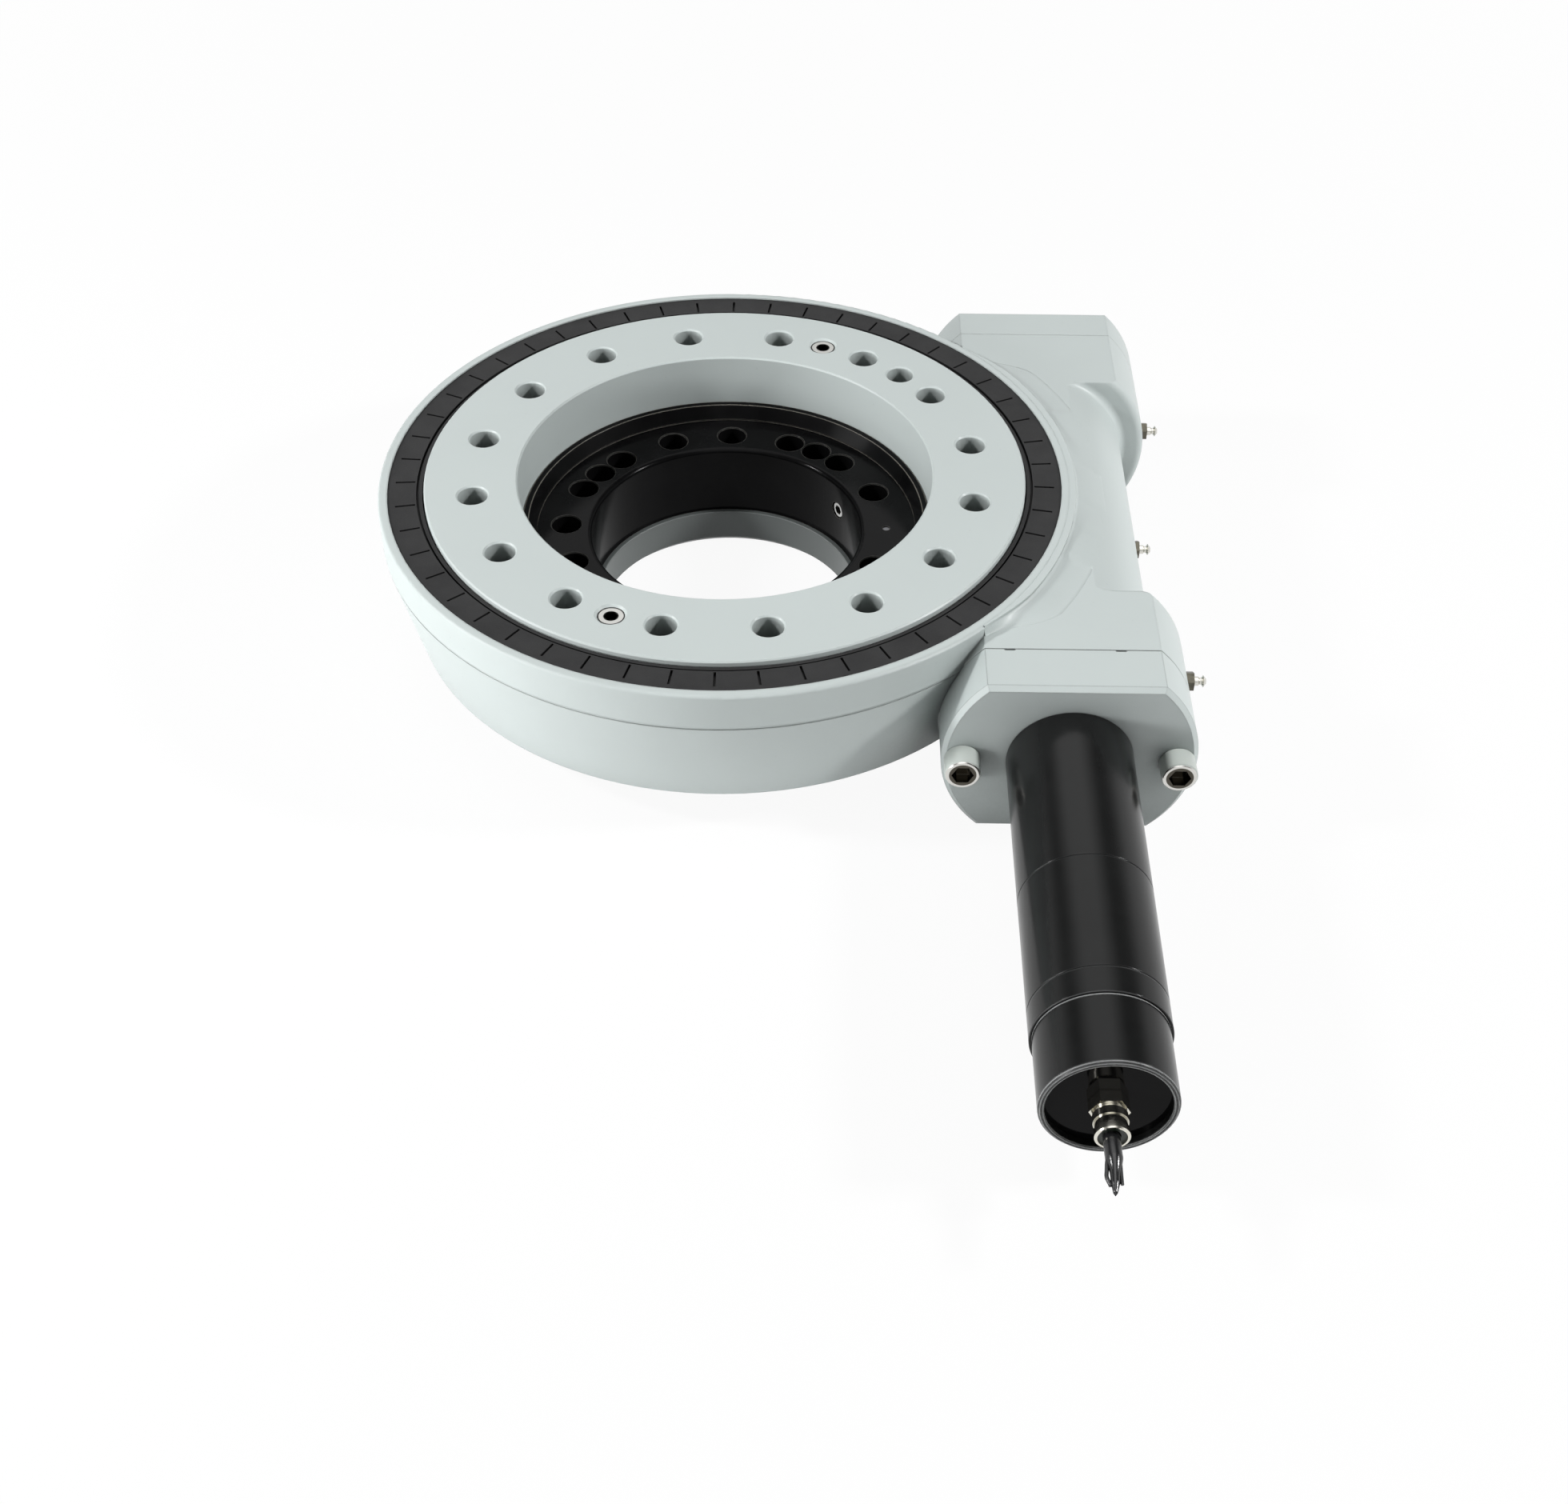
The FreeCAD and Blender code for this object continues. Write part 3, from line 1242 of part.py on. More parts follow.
def make_motor():
    outside = motor_dia / 2
    can_inside = outside - d.can_wall
    shaft = d.motor_shaft / 2
    bush_in = shaft + d.bush_gap
    bush_out = bush_in + d.bush_wall
    lip = d.bell_spigot * 0.6
    seam = outside - d.motor_seam
    on_worm_line(turned("motor_can", [
        (can_inside, can_end), (seam, can_end), (outside, can_end + d.motor_seam),
        (outside, gearbox_end - d.motor_seam), (seam, gearbox_end), (can_inside, gearbox_end),
    ]))
    on_worm_line(turned("front_bell", [
        (bush_out, gearbox_end - lip), (can_inside, gearbox_end - lip), (can_inside, gearbox_end),
        (case_inside, gearbox_end), (case_inside, bell_front), (bush_out, bell_front),
    ]))
    web = can_end - d.can_wall
    rear_inside = case_inside - d.rim_drop * 0.7
    on_worm_line(turned("rear_bell", [
        (bush_out, can_end + lip), (can_inside, can_end + lip), (can_inside, can_end), (seam, can_end),
        (outside, can_end - d.motor_seam), (outside, bell_end), (rear_inside, bell_end), (rear_inside, web),
        (bush_out, web),
    ]))
    front_bush = tube(bush_in, bush_out, gearbox_end - lip, bell_front)
    rear_bush = tube(bush_in, bush_out, web, can_end + lip)
    shaped("motor_bushes", Part.Compound([front_bush, rear_bush]), worm_line)
    magnet_high = gearbox_end - lip * 2
    commutator_high = can_end + lip + d.commutator_length + d.can_wall
    commutator_low = commutator_high - d.commutator_length
    armature_high = magnet_high - d.magnet_overhang
    armature_low = commutator_high + d.winding_end
    magnet_low = armature_low - d.magnet_overhang
    magnet_in = can_inside - d.magnet_thickness
    make_magnets(magnet_in, can_inside, magnet_low, magnet_high)
    make_armature(shaft, magnet_in - d.air_gap, armature_low, armature_high)
    shaped("commutator", tube(shaft, d.commutator_dia / 2, commutator_low, commutator_high), worm_line)
    rod = tube(0, shaft, web - d.can_wall, pinion_end)
    pinion = sun_gear(pinion_end, input_planets)
    shaped("motor_shaft", rod.fuse(pinion).removeSplitter(), worm_line)
    make_brushes(can_end + lip, (commutator_low + commutator_high) / 2)
    make_rear_cap(rear_inside)


def make_magnets(inner, outer, low, high):
    ring = tube(inner, outer, low, high)
    height = high.value - low.value
    side = 2 * outer.value
    gap = Part.makeBox(0.7 * side, side, height, Vector(-0.35 * side, -outer.value, low.value))
    gap = gap.common(tube(0, outer + d.magnet_thickness, low, high))
    halves = ring.cut(gap)
    shaped("field_magnets", Part.Compound(halves.Solids), worm_line)


def make_armature(inner, outer, low, high):
    """A laminated core with twelve winding slots."""
    core = tube(inner, outer, low, high)
    depth = 0.45 * (outer.value - inner.value)
    width = d.winding_slot.value
    corner = Vector(outer.value - depth, -width / 2, low.value)
    slot = Part.makeBox(depth + width, width, high.value - low.value, corner)
    shaped("armature", core.cut(Part.Compound(copies(slot, 12))), worm_line)


def make_brushes(seat, middle):
    width = d.brush_width.value
    half = d.brush_length.value / 2
    tip = d.commutator_dia.value / 2 + d.bush_gap.value
    reach = d.brush_reach.value
    outer = tip + reach
    brush = Part.makeBox(reach, width, 2 * half, Vector(tip, -width / 2, middle.value - half))
    brush = brush.cut(tube(0, tip, middle - half, middle + half))
    wall = d.holder_wall.value
    holder_high = middle.value + half + wall
    block_corner = Vector(tip + reach / 4, -width / 2 - wall, seat.value)
    block = Part.makeBox(0.75 * reach, width + 2 * wall, holder_high - seat.value, block_corner)
    shaped("carbon_brushes", Part.Compound(copies(brush, 2)), worm_line)
    shaped("brush_holders", Part.Compound(copies(block.cut(brush), 2)), worm_line)


def make_rear_cap(spigot):
    outside = motor_dia / 2 - d.cap_step
    inside = outside - d.cap_wall
    rounding = d.cap_wall / 3
    collar = bell_end - d.cap_wall
    on_worm_line(turned("rear_cap", [
        (spigot - d.cap_wall, bell_end + d.cap_spigot),
        (spigot, bell_end + d.cap_spigot),
        (spigot, bell_end),
        (outside, bell_end),
        (outside, cap_end + rounding),
        (outside - rounding, cap_end),
        (inside + rounding / 2, cap_end),
        (inside, cap_end + rounding / 2),
        (inside, collar),
        (spigot - d.cap_wall, collar),
    ]))
    plate_out = cap_end + d.end_plate_recess
    plate_in = plate_out + d.end_plate
    thread = d.gland_thread / 2
    on_worm_line(turned("end_plate", ring_profile(thread, inside, plate_out, plate_in)))
    make_gland(plate_out, plate_in, thread)


def make_gland(seat, inside, thread):
    hex_end = seat - d.gland_hex_height
    neck_end = hex_end - d.gland_neck
    nut_end = neck_end - d.gland_nut_length
    cable = d.cable_dia / 2
    base = hex_prism(d.gland_hex, hex_end, seat)
    base = base.fuse(tube(0, thread, seat, inside + d.gland_neck))
    base = base.fuse(tube(0, thread + d.gland_shoulder, neck_end, hex_end)).removeSplitter()
    grommet_end = nut_end + d.gland_neck / 2
    base = base.cut(tube(0, cable, neck_end, inside + d.gland_neck))
    shaped("gland_body", base, worm_line)
    outer = d.gland_nut_dia / 2
    bore = outer - d.gland_rim
    step = d.gland_nut_length / 3
    waist = outer * 0.92
    rounding = d.gland_shoulder
    on_worm_line(turned("gland_nut", [
        (thread, neck_end), (outer, neck_end), (outer, neck_end - step), (waist, neck_end - step),
        (waist, nut_end + step), (outer, nut_end + step), (outer, nut_end + rounding),
        (outer - rounding, nut_end), (bore, nut_end), (bore, neck_end - step), (thread, neck_end - step),
    ]))
    grommet = tube(cable, bore, grommet_end, neck_end - step)
    grommet = grommet.fuse(tube(cable, thread, neck_end - step, neck_end)).removeSplitter()
    shaped("gland_grommet", grommet, worm_line)
    make_cable(seat, cable.value)


def make_cable(start, radius):
    """A short cut cable that leaves the gland and droops a little."""
    route = ((0, 0, 0), (0, 0, -0.52), (-0.008, 0.006, -0.76), (-0.025, 0.021, -1))
    points = [Vector(*point) * d.cable_length.value for point in route]
    edges = []
    last = points[0]
    for before, corner, after in zip(points, points[1:], points[2:]):
        back = (before - corner).normalize()
        ahead = (after - corner).normalize()
        turn_angle = math.pi - back.getAngle(ahead)
        run = 0.45 * min((before - corner).Length, (after - corner).Length)
        bend_radius = run / math.tan(turn_angle / 2)
        print(f"cable bend radius {bend_radius:.0f} mm")
        bisector = (back + ahead).normalize()
        centre = corner + bisector * (bend_radius / math.cos(turn_angle / 2))
        middle = centre - bisector * bend_radius
        edges.append(Part.makeLine(last, corner + back * run))
        edges.append(Part.Arc(corner + back * run, middle, corner + ahead * run).toShape())
        last = corner + ahead * run
    edges.append(Part.makeLine(last, points[-1]))
    path = Part.Wire(edges)
    section = Part.Wire(Part.makeCircle(radius, points[0], Vector(0, 0, 1)))
    cable = path.makePipeShell([section], True, False)
    print(f"cable volume {cable.Volume / (math.pi * radius ** 2 * path.Length):.4f} of section by length")
    cable.translate(Vector(0, 0, start.value))
    shaped("motor_cable", cable, worm_line)


make_housing()
make_inner_ring()
make_inner_ring_fittings()
make_balls()
make_slewing_ring()
make_ring_plugs()
make_ring_seals()
make_worm()
make_taper_bearing("front", front_shoulder, -1)
make_taper_bearing("rear", rear_shoulder, 1)
make_shaft_seal()
make_rear_cover()
make_motor_flange()
make_grease_nipples()
make_gearbox()
make_motor()

doc.recompute()
for item in doc.Objects:
    if "Invalid" in item.State or "Error" in item.State:
        raise RuntimeError(f"{item.Label} did not compute")
for piece in pieces:
    if piece.Shape.isNull() or not piece.Shape.isValid():
        raise RuntimeError(f"{piece.Label} has no valid shape")

os.makedirs("parts", exist_ok=True)
for piece in pieces:
    piece.Shape.exportStep(f"parts/{piece.Label}.step")
print(f"{len(pieces)} pieces written")
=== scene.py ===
import math

import bmesh
import bpy
from mathutils import Matrix, Vector
from mathutils.bvhtree import BVHTree


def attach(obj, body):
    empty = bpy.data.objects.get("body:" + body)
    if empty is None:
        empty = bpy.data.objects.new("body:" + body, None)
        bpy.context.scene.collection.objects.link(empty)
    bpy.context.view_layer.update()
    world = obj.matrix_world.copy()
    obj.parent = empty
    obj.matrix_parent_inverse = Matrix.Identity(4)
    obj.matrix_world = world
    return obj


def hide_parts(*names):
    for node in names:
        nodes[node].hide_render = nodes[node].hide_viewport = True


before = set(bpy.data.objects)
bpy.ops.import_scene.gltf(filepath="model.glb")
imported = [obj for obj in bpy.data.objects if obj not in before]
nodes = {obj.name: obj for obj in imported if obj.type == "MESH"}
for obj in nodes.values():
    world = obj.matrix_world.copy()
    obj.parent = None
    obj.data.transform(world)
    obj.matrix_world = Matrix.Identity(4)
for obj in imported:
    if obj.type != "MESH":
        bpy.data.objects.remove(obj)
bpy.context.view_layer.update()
scene = bpy.context.scene
print("frame loaded with", len(nodes), "nodes")

slewAxis = (0.0, 0.0, 0.0)
wormAxis = (0.176, 0.0, 0.047)
standUp = (0.0, 0.0, 0.0)
lieAlongWorm = (math.pi / 2, 0.0, 0.0)   # turns the worm line into Z for the turned marks

floatKind = "NodeSocketFloat"
colourKind = "NodeSocketColor"
vectorKind = "NodeSocketVector"
noiseLow = 0.3   # nearly all of a noise lies between these two
noiseHigh = 0.7
noiseMiddle = 0.5


# small helpers for shader trees

def put(tree, kind, **settings):
    node = tree.nodes.new(kind)
    for name, value in settings.items():
        setattr(node, name, value)
    return node


def setInput(tree, socket, value):
    if isinstance(value, bpy.types.NodeSocket):
        tree.links.new(value, socket)
    else:
        socket.default_value = value


def feed(tree, node, **values):
    for name, value in values.items():
        setInput(tree, node.inputs[name.replace("_", " ")], value)
    return node


def calc(tree, work, first, second=0.0, clamp=False):
    node = put(tree, "ShaderNodeMath", operation=work, use_clamp=clamp)
    setInput(tree, node.inputs[0], first)
    setInput(tree, node.inputs[1], second)
    return node.outputs[0]


def remap(tree, value, low, high, newLow, newHigh):
    node = put(tree, "ShaderNodeMapRange", clamp=True)
    feed(tree, node, Value=value, From_Min=low, From_Max=high, To_Min=newLow, To_Max=newHigh)
    return node.outputs[0]


def spreadNoise(tree, value, newLow, newHigh):
    return remap(tree, value, noiseLow, noiseHigh, newLow, newHigh)


def opaque(colour):
    # full alpha for a plain colour; a socket passes as it is
    if isinstance(colour, tuple):
        return (*colour, 1.0)
    return colour


def blendColour(tree, share, under, over):
    node = put(tree, "ShaderNodeMix", data_type="RGBA")
    setInput(tree, node.inputs[0], share)
    setInput(tree, node.inputs[6], opaque(under))   # 6, 7 and output 2 are the colours of this node
    setInput(tree, node.inputs[7], opaque(over))
    return node.outputs[2]


def objectPlace(tree):
    return put(tree, "ShaderNodeTexCoord").outputs["Object"]


def noiseAt(tree, place, scale, detail, roughness):
    node = put(tree, "ShaderNodeTexNoise", noise_dimensions="3D")
    feed(tree, node, Vector=place, Scale=scale, Detail=detail, Roughness=roughness)
    return node.outputs["Fac"]


def newGroup(name, takes, gives):
    group = bpy.data.node_groups.new(name, "ShaderNodeTree")
    for label, kind, value in takes:
        socket = group.interface.new_socket(name=label, in_out="INPUT", socket_type=kind)
        socket.default_value = value
    for label, kind in gives:
        group.interface.new_socket(name=label, in_out="OUTPUT", socket_type=kind)
    return group, put(group, "NodeGroupInput").outputs, put(group, "NodeGroupOutput")


def useGroup(tree, group, **values):
    node = put(tree, "ShaderNodeGroup", node_tree=group)
    return feed(tree, node, **values).outputs


# sprayed enamel: faint clouding, orange peel and a few dust nibs
sprayMarks = {
    "cloudScale": 11.0, "cloudDetail": 3.0, "cloudRoughness": 0.55, "peelDetail": 1.5, "peelRoughness": 0.4,
    "nibScale": 95.0, "nibCore": 0.035, "nibRim": 0.06, "nibShare": 0.12, "nibHeight": 0.6,
    "nibColour": (0.3, 0.31, 0.31),
}


def buildSprayCoat(look):
    group, given, made = newGroup(
        "sprayCoat",
        [("Colour", colourKind, (0.6, 0.6, 0.6, 1.0)), ("Clouding", floatKind, 0.04),
         ("Peel Size", floatKind, 700.0), ("Gloss Low", floatKind, 0.3), ("Gloss High", floatKind, 0.42)],
        [("Colour", colourKind), ("Roughness", floatKind), ("Height", floatKind)])
    place = objectPlace(group)
    cloud = noiseAt(group, place, look["cloudScale"], look["cloudDetail"], look["cloudRoughness"])
    peel = noiseAt(group, place, given["Peel Size"], look["peelDetail"], look["peelRoughness"])
    nib = put(group, "ShaderNodeTexVoronoi", feature="F1")
    feed(group, nib, Vector=place, Scale=look["nibScale"], Randomness=1.0)
    nibDot = remap(group, nib.outputs["Distance"], look["nibCore"], look["nibRim"], 1.0, 0.0)
    shade = spreadNoise(group, cloud, calc(group, "SUBTRACT", 1.0, given["Clouding"]), 1.0)
    toned = put(group, "ShaderNodeVectorMath", operation="SCALE")
    feed(group, toned, Vector=given["Colour"], Scale=shade)
    nibShare = calc(group, "MULTIPLY", nibDot, look["nibShare"])
    nibRise = calc(group, "MULTIPLY", nibDot, look["nibHeight"])
    feed(group, made, Colour=blendColour(group, nibShare, toned.outputs[0], look["nibColour"]),
         Roughness=spreadNoise(group, cloud, given["Gloss Low"], given["Gloss High"]),
         Height=calc(group, "ADD", peel, nibRise))
    return group


# thin line along outer edges: rubbed paint, and a painted highlight where it is lighter; the turns are
# cosines
edgeLineShape = {"turnFrom": 0.985, "turnBy": 0.86, "gritScale": 160.0, "gritDetail": 4.0, "gritRoughness": 0.6}


def buildEdgeWearAndHighlight(look):
    group, given, made = newGroup(
        "edgeWearAndHighlight",
        [("Radius", floatKind, 0.0008), ("Gain", floatKind, 1.0), ("Break Up", floatKind, 0.5)],
        [("Mask", floatKind)])
    rounded = put(group, "ShaderNodeBevel", samples=6)
    feed(group, rounded, Radius=given["Radius"])
    surface = put(group, "ShaderNodeNewGeometry")
    lean = put(group, "ShaderNodeVectorMath", operation="DOT_PRODUCT")
    group.links.new(rounded.outputs[0], lean.inputs[0])
    group.links.new(surface.outputs["Normal"], lean.inputs[1])
    edge = remap(group, lean.outputs["Value"], look["turnFrom"], look["turnBy"], 0.0, 1.0)
    grit = noiseAt(group, objectPlace(group), look["gritScale"], look["gritDetail"], look["gritRoughness"])
    gate = calc(group, "SUBTRACT", 1.0, calc(group, "MULTIPLY", given["Break Up"], grit))
    broken = calc(group, "MULTIPLY", edge, gate)
    feed(group, made, Mask=calc(group, "MULTIPLY", broken, given["Gain"], clamp=True))
    return group


def buildOcclusionShade(name, ownOnly):
    # painted shade in corners, joints and hollows, from the occlusion of the piece alone or where pieces
    # meet
    group, given, made = newGroup(
        name,
        [("Reach", floatKind, 0.006), ("Gain", floatKind, 1.0), ("Open", floatKind, 0.8),
         ("Shut", floatKind, 0.3)],
        [("Mask", floatKind)])
    openness = put(group, "ShaderNodeAmbientOcclusion", samples=5, only_local=ownOnly)
    feed(group, openness, Distance=given["Reach"])
    shut = remap(group, openness.outputs["AO"], given["Open"], given["Shut"], 0.0, 1.0)
    feed(group, made, Mask=calc(group, "MULTIPLY", shut, given["Gain"], clamp=True))
    return group


def buildLatheMarks():
    # fine rings left by turning, about any axis
    group, given, made = newGroup(
        "latheMarks",
        [("Centre", vectorKind, slewAxis), ("Tilt", vectorKind, standUp), ("Marks", floatKind, 2500.0)],
        [("Lines", floatKind)])
    moved = put(group, "ShaderNodeVectorMath", operation="SUBTRACT")
    group.links.new(objectPlace(group), moved.inputs[0])
    group.links.new(given["Centre"], moved.inputs[1])
    turned = put(group, "ShaderNodeVectorRotate", rotation_type="EULER_XYZ")
    feed(group, turned, Vector=moved.outputs[0], Rotation=given["Tilt"])
    parts = put(group, "ShaderNodeSeparateXYZ")
    group.links.new(turned.outputs[0], parts.inputs[0])
    square = calc(group, "ADD", calc(group, "MULTIPLY", parts.outputs["X"], parts.outputs["X"]),
                  calc(group, "MULTIPLY", parts.outputs["Y"], parts.outputs["Y"]))
    reach = calc(group, "ADD", calc(group, "SQRT", square), parts.outputs["Z"])
    lines = put(group, "ShaderNodeTexNoise", noise_dimensions="1D")
    along = calc(group, "MULTIPLY", reach, given["Marks"])
    feed(group, lines, W=along, Scale=1.0, Detail=3.0, Roughness=0.65)
    feed(group, made, Lines=lines.outputs["Fac"])
    return group


# speckle of moulded rubber, plastic and plated metal
grainMarks = {"speckDetail": 3.0, "cloudDetail": 4.0, "roughness": 0.6}


def buildFineGrain(look):
    group, given, made = newGroup(
        "fineGrain",
        [("Grain", floatKind, 1500.0), ("Patch", floatKind, 60.0)],
        [("Speck", floatKind), ("Cloud", floatKind)])
    place = objectPlace(group)
    speck = noiseAt(group, place, given["Grain"], look["speckDetail"], look["roughness"])
    cloud = noiseAt(group, place, given["Patch"], look["cloudDetail"], look["roughness"])
    feed(group, made, Speck=speck, Cloud=cloud)
    return group


sprayCoat = buildSprayCoat(sprayMarks)
edgeWearAndHighlight = buildEdgeWearAndHighlight(edgeLineShape)
# painted shade from ambient occlusion: of all pieces together, and of each piece alone
occlusionShade = buildOcclusionShade("occlusionShade", False)
ownOcclusionShade = buildOcclusionShade("ownOcclusionShade", True)
latheMarks = buildLatheMarks()
fineGrain = buildFineGrain(grainMarks)
print("shader groups built")


# finishes, each from a dictionary of its values

def newMaterial(name):
    material = bpy.data.materials.new(name)
    material.use_nodes = True
    tree = material.node_tree
    return material, tree, tree.nodes["Principled BSDF"]


def addBump(tree, shader, height, look, under=None):
    bump = put(tree, "ShaderNodeBump")
    feed(tree, bump, Height=height, Distance=look["bumpDepth"], Strength=look["bumpStrength"])
    if under is not None:
        feed(tree, bump, Normal=under)
    feed(tree, shader, Normal=bump.outputs[0])


def softEdges(tree, radius):
    rounded = put(tree, "ShaderNodeBevel", samples=5)
    return feed(tree, rounded, Radius=radius).outputs[0]


def reachFromAxes(tree, flatten, axes):
    # distance of the surface from the nearest of some parallel lines
    flat = put(tree, "ShaderNodeVectorMath", operation="MULTIPLY")
    setInput(tree, flat.inputs[0], objectPlace(tree))
    setInput(tree, flat.inputs[1], flatten)
    nearest = None
    for axis in axes:
        gap = put(tree, "ShaderNodeVectorMath", operation="DISTANCE")
        setInput(tree, gap.inputs[0], flat.outputs[0])
        setInput(tree, gap.inputs[1], axis)
        reach = gap.outputs["Value"]
        nearest = reach if nearest is None else calc(tree, "MINIMUM", nearest, reach)
    return nearest


def beyond(tree, reach, start, fade):
    # 0 up to the start, 1 from the end of the fade on
    return remap(tree, reach, start, start + fade, 0.0, 1.0)


def cloudyColour(tree, grain, dark, light):
    return blendColour(tree, spreadNoise(tree, grain["Cloud"], 0.0, 1.0), dark, light)


def greyEnamel(name, look):
    material, tree, shader = newMaterial(name)
    coat = useGroup(tree, sprayCoat, Colour=opaque(look["colour"]), Clouding=look["clouding"],
                    Peel_Size=look["peelSize"], Gloss_Low=look["glossLow"], Gloss_High=look["glossHigh"])
    # painted shade: darker where the ambient occlusion is deep, in corners, hollows and at the neck
    paintedShade = useGroup(tree, look["shadeFrom"], Reach=look["shadeReach"], Gain=look["shadeGain"],
                    Open=look["shadeOpen"], Shut=look["shadeShut"])
    # painted shade: a thin darker line in creases and joints, from short-reach ambient occlusion
    creaseShade = useGroup(tree, look["creaseFrom"], Reach=look["creaseReach"], Gain=look["creaseGain"],
                      Open=look["creaseOpen"], Shut=look["creaseShut"])
    # edge line: rubbed paint, and a painted highlight where it is lighter
    edge = useGroup(tree, edgeWearAndHighlight, Radius=look["edgeRadius"], Gain=look["edgeGain"],
                    Break_Up=look["edgeBreakUp"])
    shaded = blendColour(tree, paintedShade["Mask"], coat["Colour"], look["shadeColour"])
    # painted shade on the base bore wall, which the inner ring keeps from the light
    if "boreRadius" in look:
        reach = reachFromAxes(tree, look["boreFlatten"], (slewAxis,))
        boreEnd = look["boreRadius"] + look["boreFade"]
        boreShade = remap(tree, reach, look["boreRadius"], boreEnd, look["boreShadeGain"], 0.0)
        shaded = blendColour(tree, boreShade, shaded, look["shadeColour"])
    creaseShaded = blendColour(tree, creaseShade["Mask"], shaded, look["creaseShadeColour"])
    shown = blendColour(tree, edge["Mask"], creaseShaded, look["edgeColour"])
    addBump(tree, shader, coat["Height"], look, softEdges(tree, look["castRound"]))
    feed(tree, shader, Base_Color=shown, Roughness=coat["Roughness"], IOR=look["ior"],
         Coat_Weight=look["coat"], Coat_Roughness=look["coatRoughness"])
    return material


def turnedSurface(tree, shader, look, under=None):
    # cloudy gloss and height with turned lines and grain in them; gives the cloudy colour
    grain = useGroup(tree, fineGrain, Grain=look["grain"], Patch=look["patch"])
    marks = useGroup(tree, latheMarks, Centre=look["centre"], Tilt=look["tilt"], Marks=look["marks"])
    cloudy = spreadNoise(tree, grain["Cloud"], look["glossLow"], look["glossHigh"])
    lines = calc(tree, "SUBTRACT", marks["Lines"], noiseMiddle)
    streaks = calc(tree, "MULTIPLY", lines, look["markGloss"])
    feed(tree, shader, Roughness=calc(tree, "ADD", cloudy, streaks))
    grooves = calc(tree, "MULTIPLY", marks["Lines"], look["markShare"])
    specks = calc(tree, "MULTIPLY", grain["Speck"], 1.0 - look["markShare"])
    addBump(tree, shader, calc(tree, "ADD", grooves, specks), look, under)
    return cloudyColour(tree, grain, look["dark"], look["light"])


def blackFinish(name, look):
    material, tree, shader = newMaterial(name)
    body = turnedSurface(tree, shader, look, softEdges(tree, look["edgeRound"]))
    # the lighter edge line is a painted highlight
    edge = useGroup(tree, edgeWearAndHighlight, Radius=look["edgeRadius"], Gain=look["edgeGain"],
                    Break_Up=look["edgeBreakUp"])
    shown = blendColour(tree, edge["Mask"], body, look["edgeColour"])
    feed(tree, shader, Base_Color=shown, Specular_IOR_Level=look["specular"])
    return material


def bareMetal(name, look):
    material, tree, shader = newMaterial(name)
    body = turnedSurface(tree, shader, look)
    # painted shade in the corners, from ambient occlusion
    metalShade = useGroup(tree, occlusionShade, Reach=look["metalShadeReach"], Gain=look["metalShadeGain"])
    shown = blendColour(tree, metalShade["Mask"], body, look["metalShadeColour"])
    feed(tree, shader, Base_Color=shown, Metallic=1.0)
    return material


def rubberFinish(name, look):
    material, tree, shader = newMaterial(name)
    grain = useGroup(tree, fineGrain, Grain=look["grain"], Patch=look["patch"])
    # painted shade in slots and corners, from ambient occlusion
    paintedShade = useGroup(tree, occlusionShade, Reach=look["shadeReach"], Gain=look["shadeGain"])
    body = cloudyColour(tree, grain, look["dark"], look["light"])
    shown = blendColour(tree, paintedShade["Mask"], body, look["recessShadeColour"])
    level = spreadNoise(tree, grain["Speck"], look["glossLow"], look["glossHigh"])
    addBump(tree, shader, grain["Speck"], look)
    feed(tree, shader, Base_Color=shown, Roughness=level, Specular_IOR_Level=look["specular"])
    return material


def dress(material, *names):
    for name in names:
        mesh = nodes[name].data
        mesh.materials.clear()
        mesh.materials.append(material)


# painted castings and the turning ring
# shade values give painted shade in corners and at the neck, crease values a thin painted shade line in
# creases and joints; the light edge colour is thinner paint and a painted highlight
housingPaint = {
    "colour": (0.56, 0.615, 0.605), "clouding": 0.05, "glossLow": 0.4, "glossHigh": 0.5, "ior": 1.5,
    "coat": 0.06, "coatRoughness": 0.25, "peelSize": 620.0, "bumpDepth": 0.00006, "bumpStrength": 0.6,
    "shadeFrom": occlusionShade, "shadeReach": 0.06, "shadeGain": 0.9, "shadeOpen": 0.62, "shadeShut": 0.2,
    "shadeColour": (0.08, 0.09, 0.088),
    "creaseFrom": occlusionShade, "creaseReach": 0.0014, "creaseGain": 0.05, "creaseOpen": 0.8,
    "creaseShut": 0.3, "creaseShadeColour": (0.1, 0.11, 0.105),
    "edgeRadius": 0.0009, "edgeGain": 0.35, "edgeBreakUp": 0.4, "edgeColour": (0.74, 0.78, 0.77),
    "castRound": 0.0016,
}
# housing paint with painted shade on the base bore wall
boreShadedPaint = dict(housingPaint, boreRadius=0.0755, boreFade=0.0005, boreShadeGain=0.85,
                 boreFlatten=(1.0, 1.0, 0.0))
# flange paint: a thin dark line on its outer edges, and a stronger painted shade line in the joint with the
# housing
flangePaint = dict(housingPaint, edgeRadius=0.0012, edgeGain=1.4, edgeColour=(0.2, 0.22, 0.215),
                   castRound=0.0006, creaseGain=0.8)
# ring paint: painted shade deep in the bolt holes, together with their darker unpainted inside
ringPaint = dict(housingPaint, peelSize=800.0, clouding=0.035, glossLow=0.44, glossHigh=0.52, coat=0.08,
                 castRound=0.0005, edgeGain=0.1, shadeFrom=ownOcclusionShade, shadeReach=0.03, shadeGain=0.8,
                 shadeColour=(0.08, 0.085, 0.08), shadeOpen=0.42, shadeShut=0.14)
castingEnamel = greyEnamel("castingEnamel", boreShadedPaint)
dress(castingEnamel, "housing", "rear_cover")
dress(greyEnamel("flangeEnamel", flangePaint), "motor_flange")
dress(greyEnamel("ringEnamel", ringPaint), "slewing_ring")

